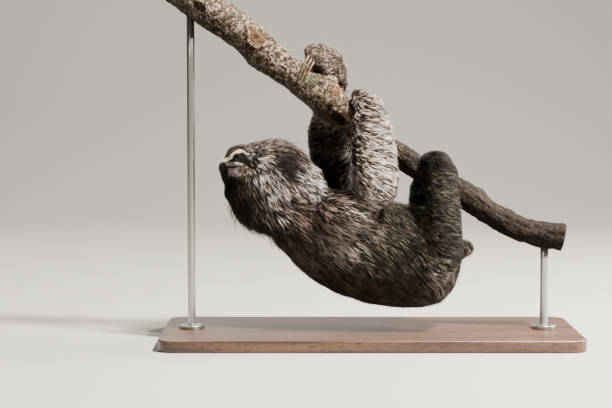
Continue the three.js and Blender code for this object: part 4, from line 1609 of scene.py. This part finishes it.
class SLOTH_OT_stage(bpy.types.Operator):
    """Builds the floor and backdrop, the studio lights and the camera"""

    bl_idname = "sloth.stage"
    bl_label = "Stage"

    def execute(self, context):
        settings = context.scene.sloth_stage
        # A sweep: level floor, then a quarter circle up to a wall, carried along X.
        profile = [(-16.0, 0.0), (2.2, 0.0), *arc((2.2, 1.6), 1.6, -90, 0, 24), (3.8, 6.0)]
        rows = np.array([[(x, y, z) for x in (-20.0, 20.0)] for y, z in profile])
        quads = grid_faces(len(rows), 2, closed=False)
        floor = mesh_object("stage_sweep", rows.reshape(-1, 3), quads)
        floor.data.materials.append(plain_material("matt_paper_sweep", "#9a9894", 0.9))

        world = bpy.data.worlds.new("studio")
        world.use_nodes = True
        background = world.node_tree.nodes["Background"].inputs
        background["Color"].default_value = linear("#ece7df")
        background["Strength"].default_value = 0.08
        context.scene.world = world

        # Each light: place, target, diameter, share of the key light's power, and tint.
        middle = (-0.04, 0.0, 0.24)
        lights = {
            "key": ((0.95, -0.8, 2.1), middle, 0.4, 1, "#fff7ee"),
            "fill": ((-1.3, -2.2, 1.1), middle, 0.8, 0.028, "#fff4e6"),
            "rim": ((1.7, 0.35, 1.05), middle, 0.5, 0.36, "#fff4e6"),
            "back": ((-0.8, 2.0, 1.8), middle, 1.0, 0.07, "#fff8ee"),
            "backdrop": ((0.0, 0.9, 2.6), (0.0, 3.4, 0.9), 1.6, 0.11, "#ffffff"),
        }
        for name, (place, target, size, share, tint) in lights.items():
            data = bpy.data.lights.new(name, "AREA")
            data.shape = "DISK"
            data.size = size
            data.energy = settings.key_power * share
            data.color = linear(tint)[:3]
            aim_at(scene_object(name, data), np.array(place), np.array(target))

        camera = bpy.data.cameras.new("camera")
        camera.lens, camera.sensor_width = 100, 36
        obj = scene_object("camera", camera)
        aim = np.array((-0.096, 0.0, 0.2055))
        lift = settings.elevation
        aim_at(obj, aim + np.array((0, -math.cos(lift), math.sin(lift))) * settings.distance, aim)
        context.scene.camera = obj
        return {"FINISHED"}


def aim_at(obj, place, target):
    """Puts a light or camera at a place, looking at a target, with +Z up."""
    back = unit(place - target)
    right = unit(np.cross((0, 0, 1), back))
    matrix = np.eye(4)
    matrix[:3] = np.column_stack([right, np.cross(back, right), back, place])
    obj.matrix_world = Matrix(matrix.tolist())


# --- Panel and registration -----------------------------------------------------------------


class SLOTH_PT_panel(bpy.types.Panel):
    bl_idname = "SLOTH_PT_panel"
    bl_label = "Hanging sloth"
    bl_space_type = "VIEW_3D"
    bl_region_type = "UI"
    bl_category = "Sloth"

    def draw(self, context):
        for group in ("sloth_coat", "sloth_bark", "sloth_stage"):
            settings = getattr(context.scene, group)
            box = self.layout.box()
            for key in settings.__annotations__:
                box.prop(settings, key)
        for operator in OPERATORS:
            self.layout.operator(operator.bl_idname)


SETTINGS = {
    "sloth_coat": SlothCoatSettings,
    "sloth_bark": SlothBarkSettings,
    "sloth_stage": SlothStageSettings,
}
OPERATORS = (
    SLOTH_OT_stage, SLOTH_OT_branch, SLOTH_OT_stand, SLOTH_OT_claws, SLOTH_OT_face,
    SLOTH_OT_body,
)


def register():
    for cls in (*SETTINGS.values(), *OPERATORS, SLOTH_PT_panel):
        bpy.utils.register_class(cls)
    for name, cls in SETTINGS.items():
        setattr(bpy.types.Scene, name, PointerProperty(type=cls))


def unregister():
    for name in SETTINGS:
        delattr(bpy.types.Scene, name)
    for cls in (SLOTH_PT_panel, *reversed(OPERATORS), *reversed(SETTINGS.values())):
        bpy.utils.unregister_class(cls)


def main():
    """Builds everything in order."""
    register()
    for operator in OPERATORS:
        group, name = operator.bl_idname.split(".")
        getattr(getattr(bpy.ops, group), name)()


if __name__ == "__main__":
    main()
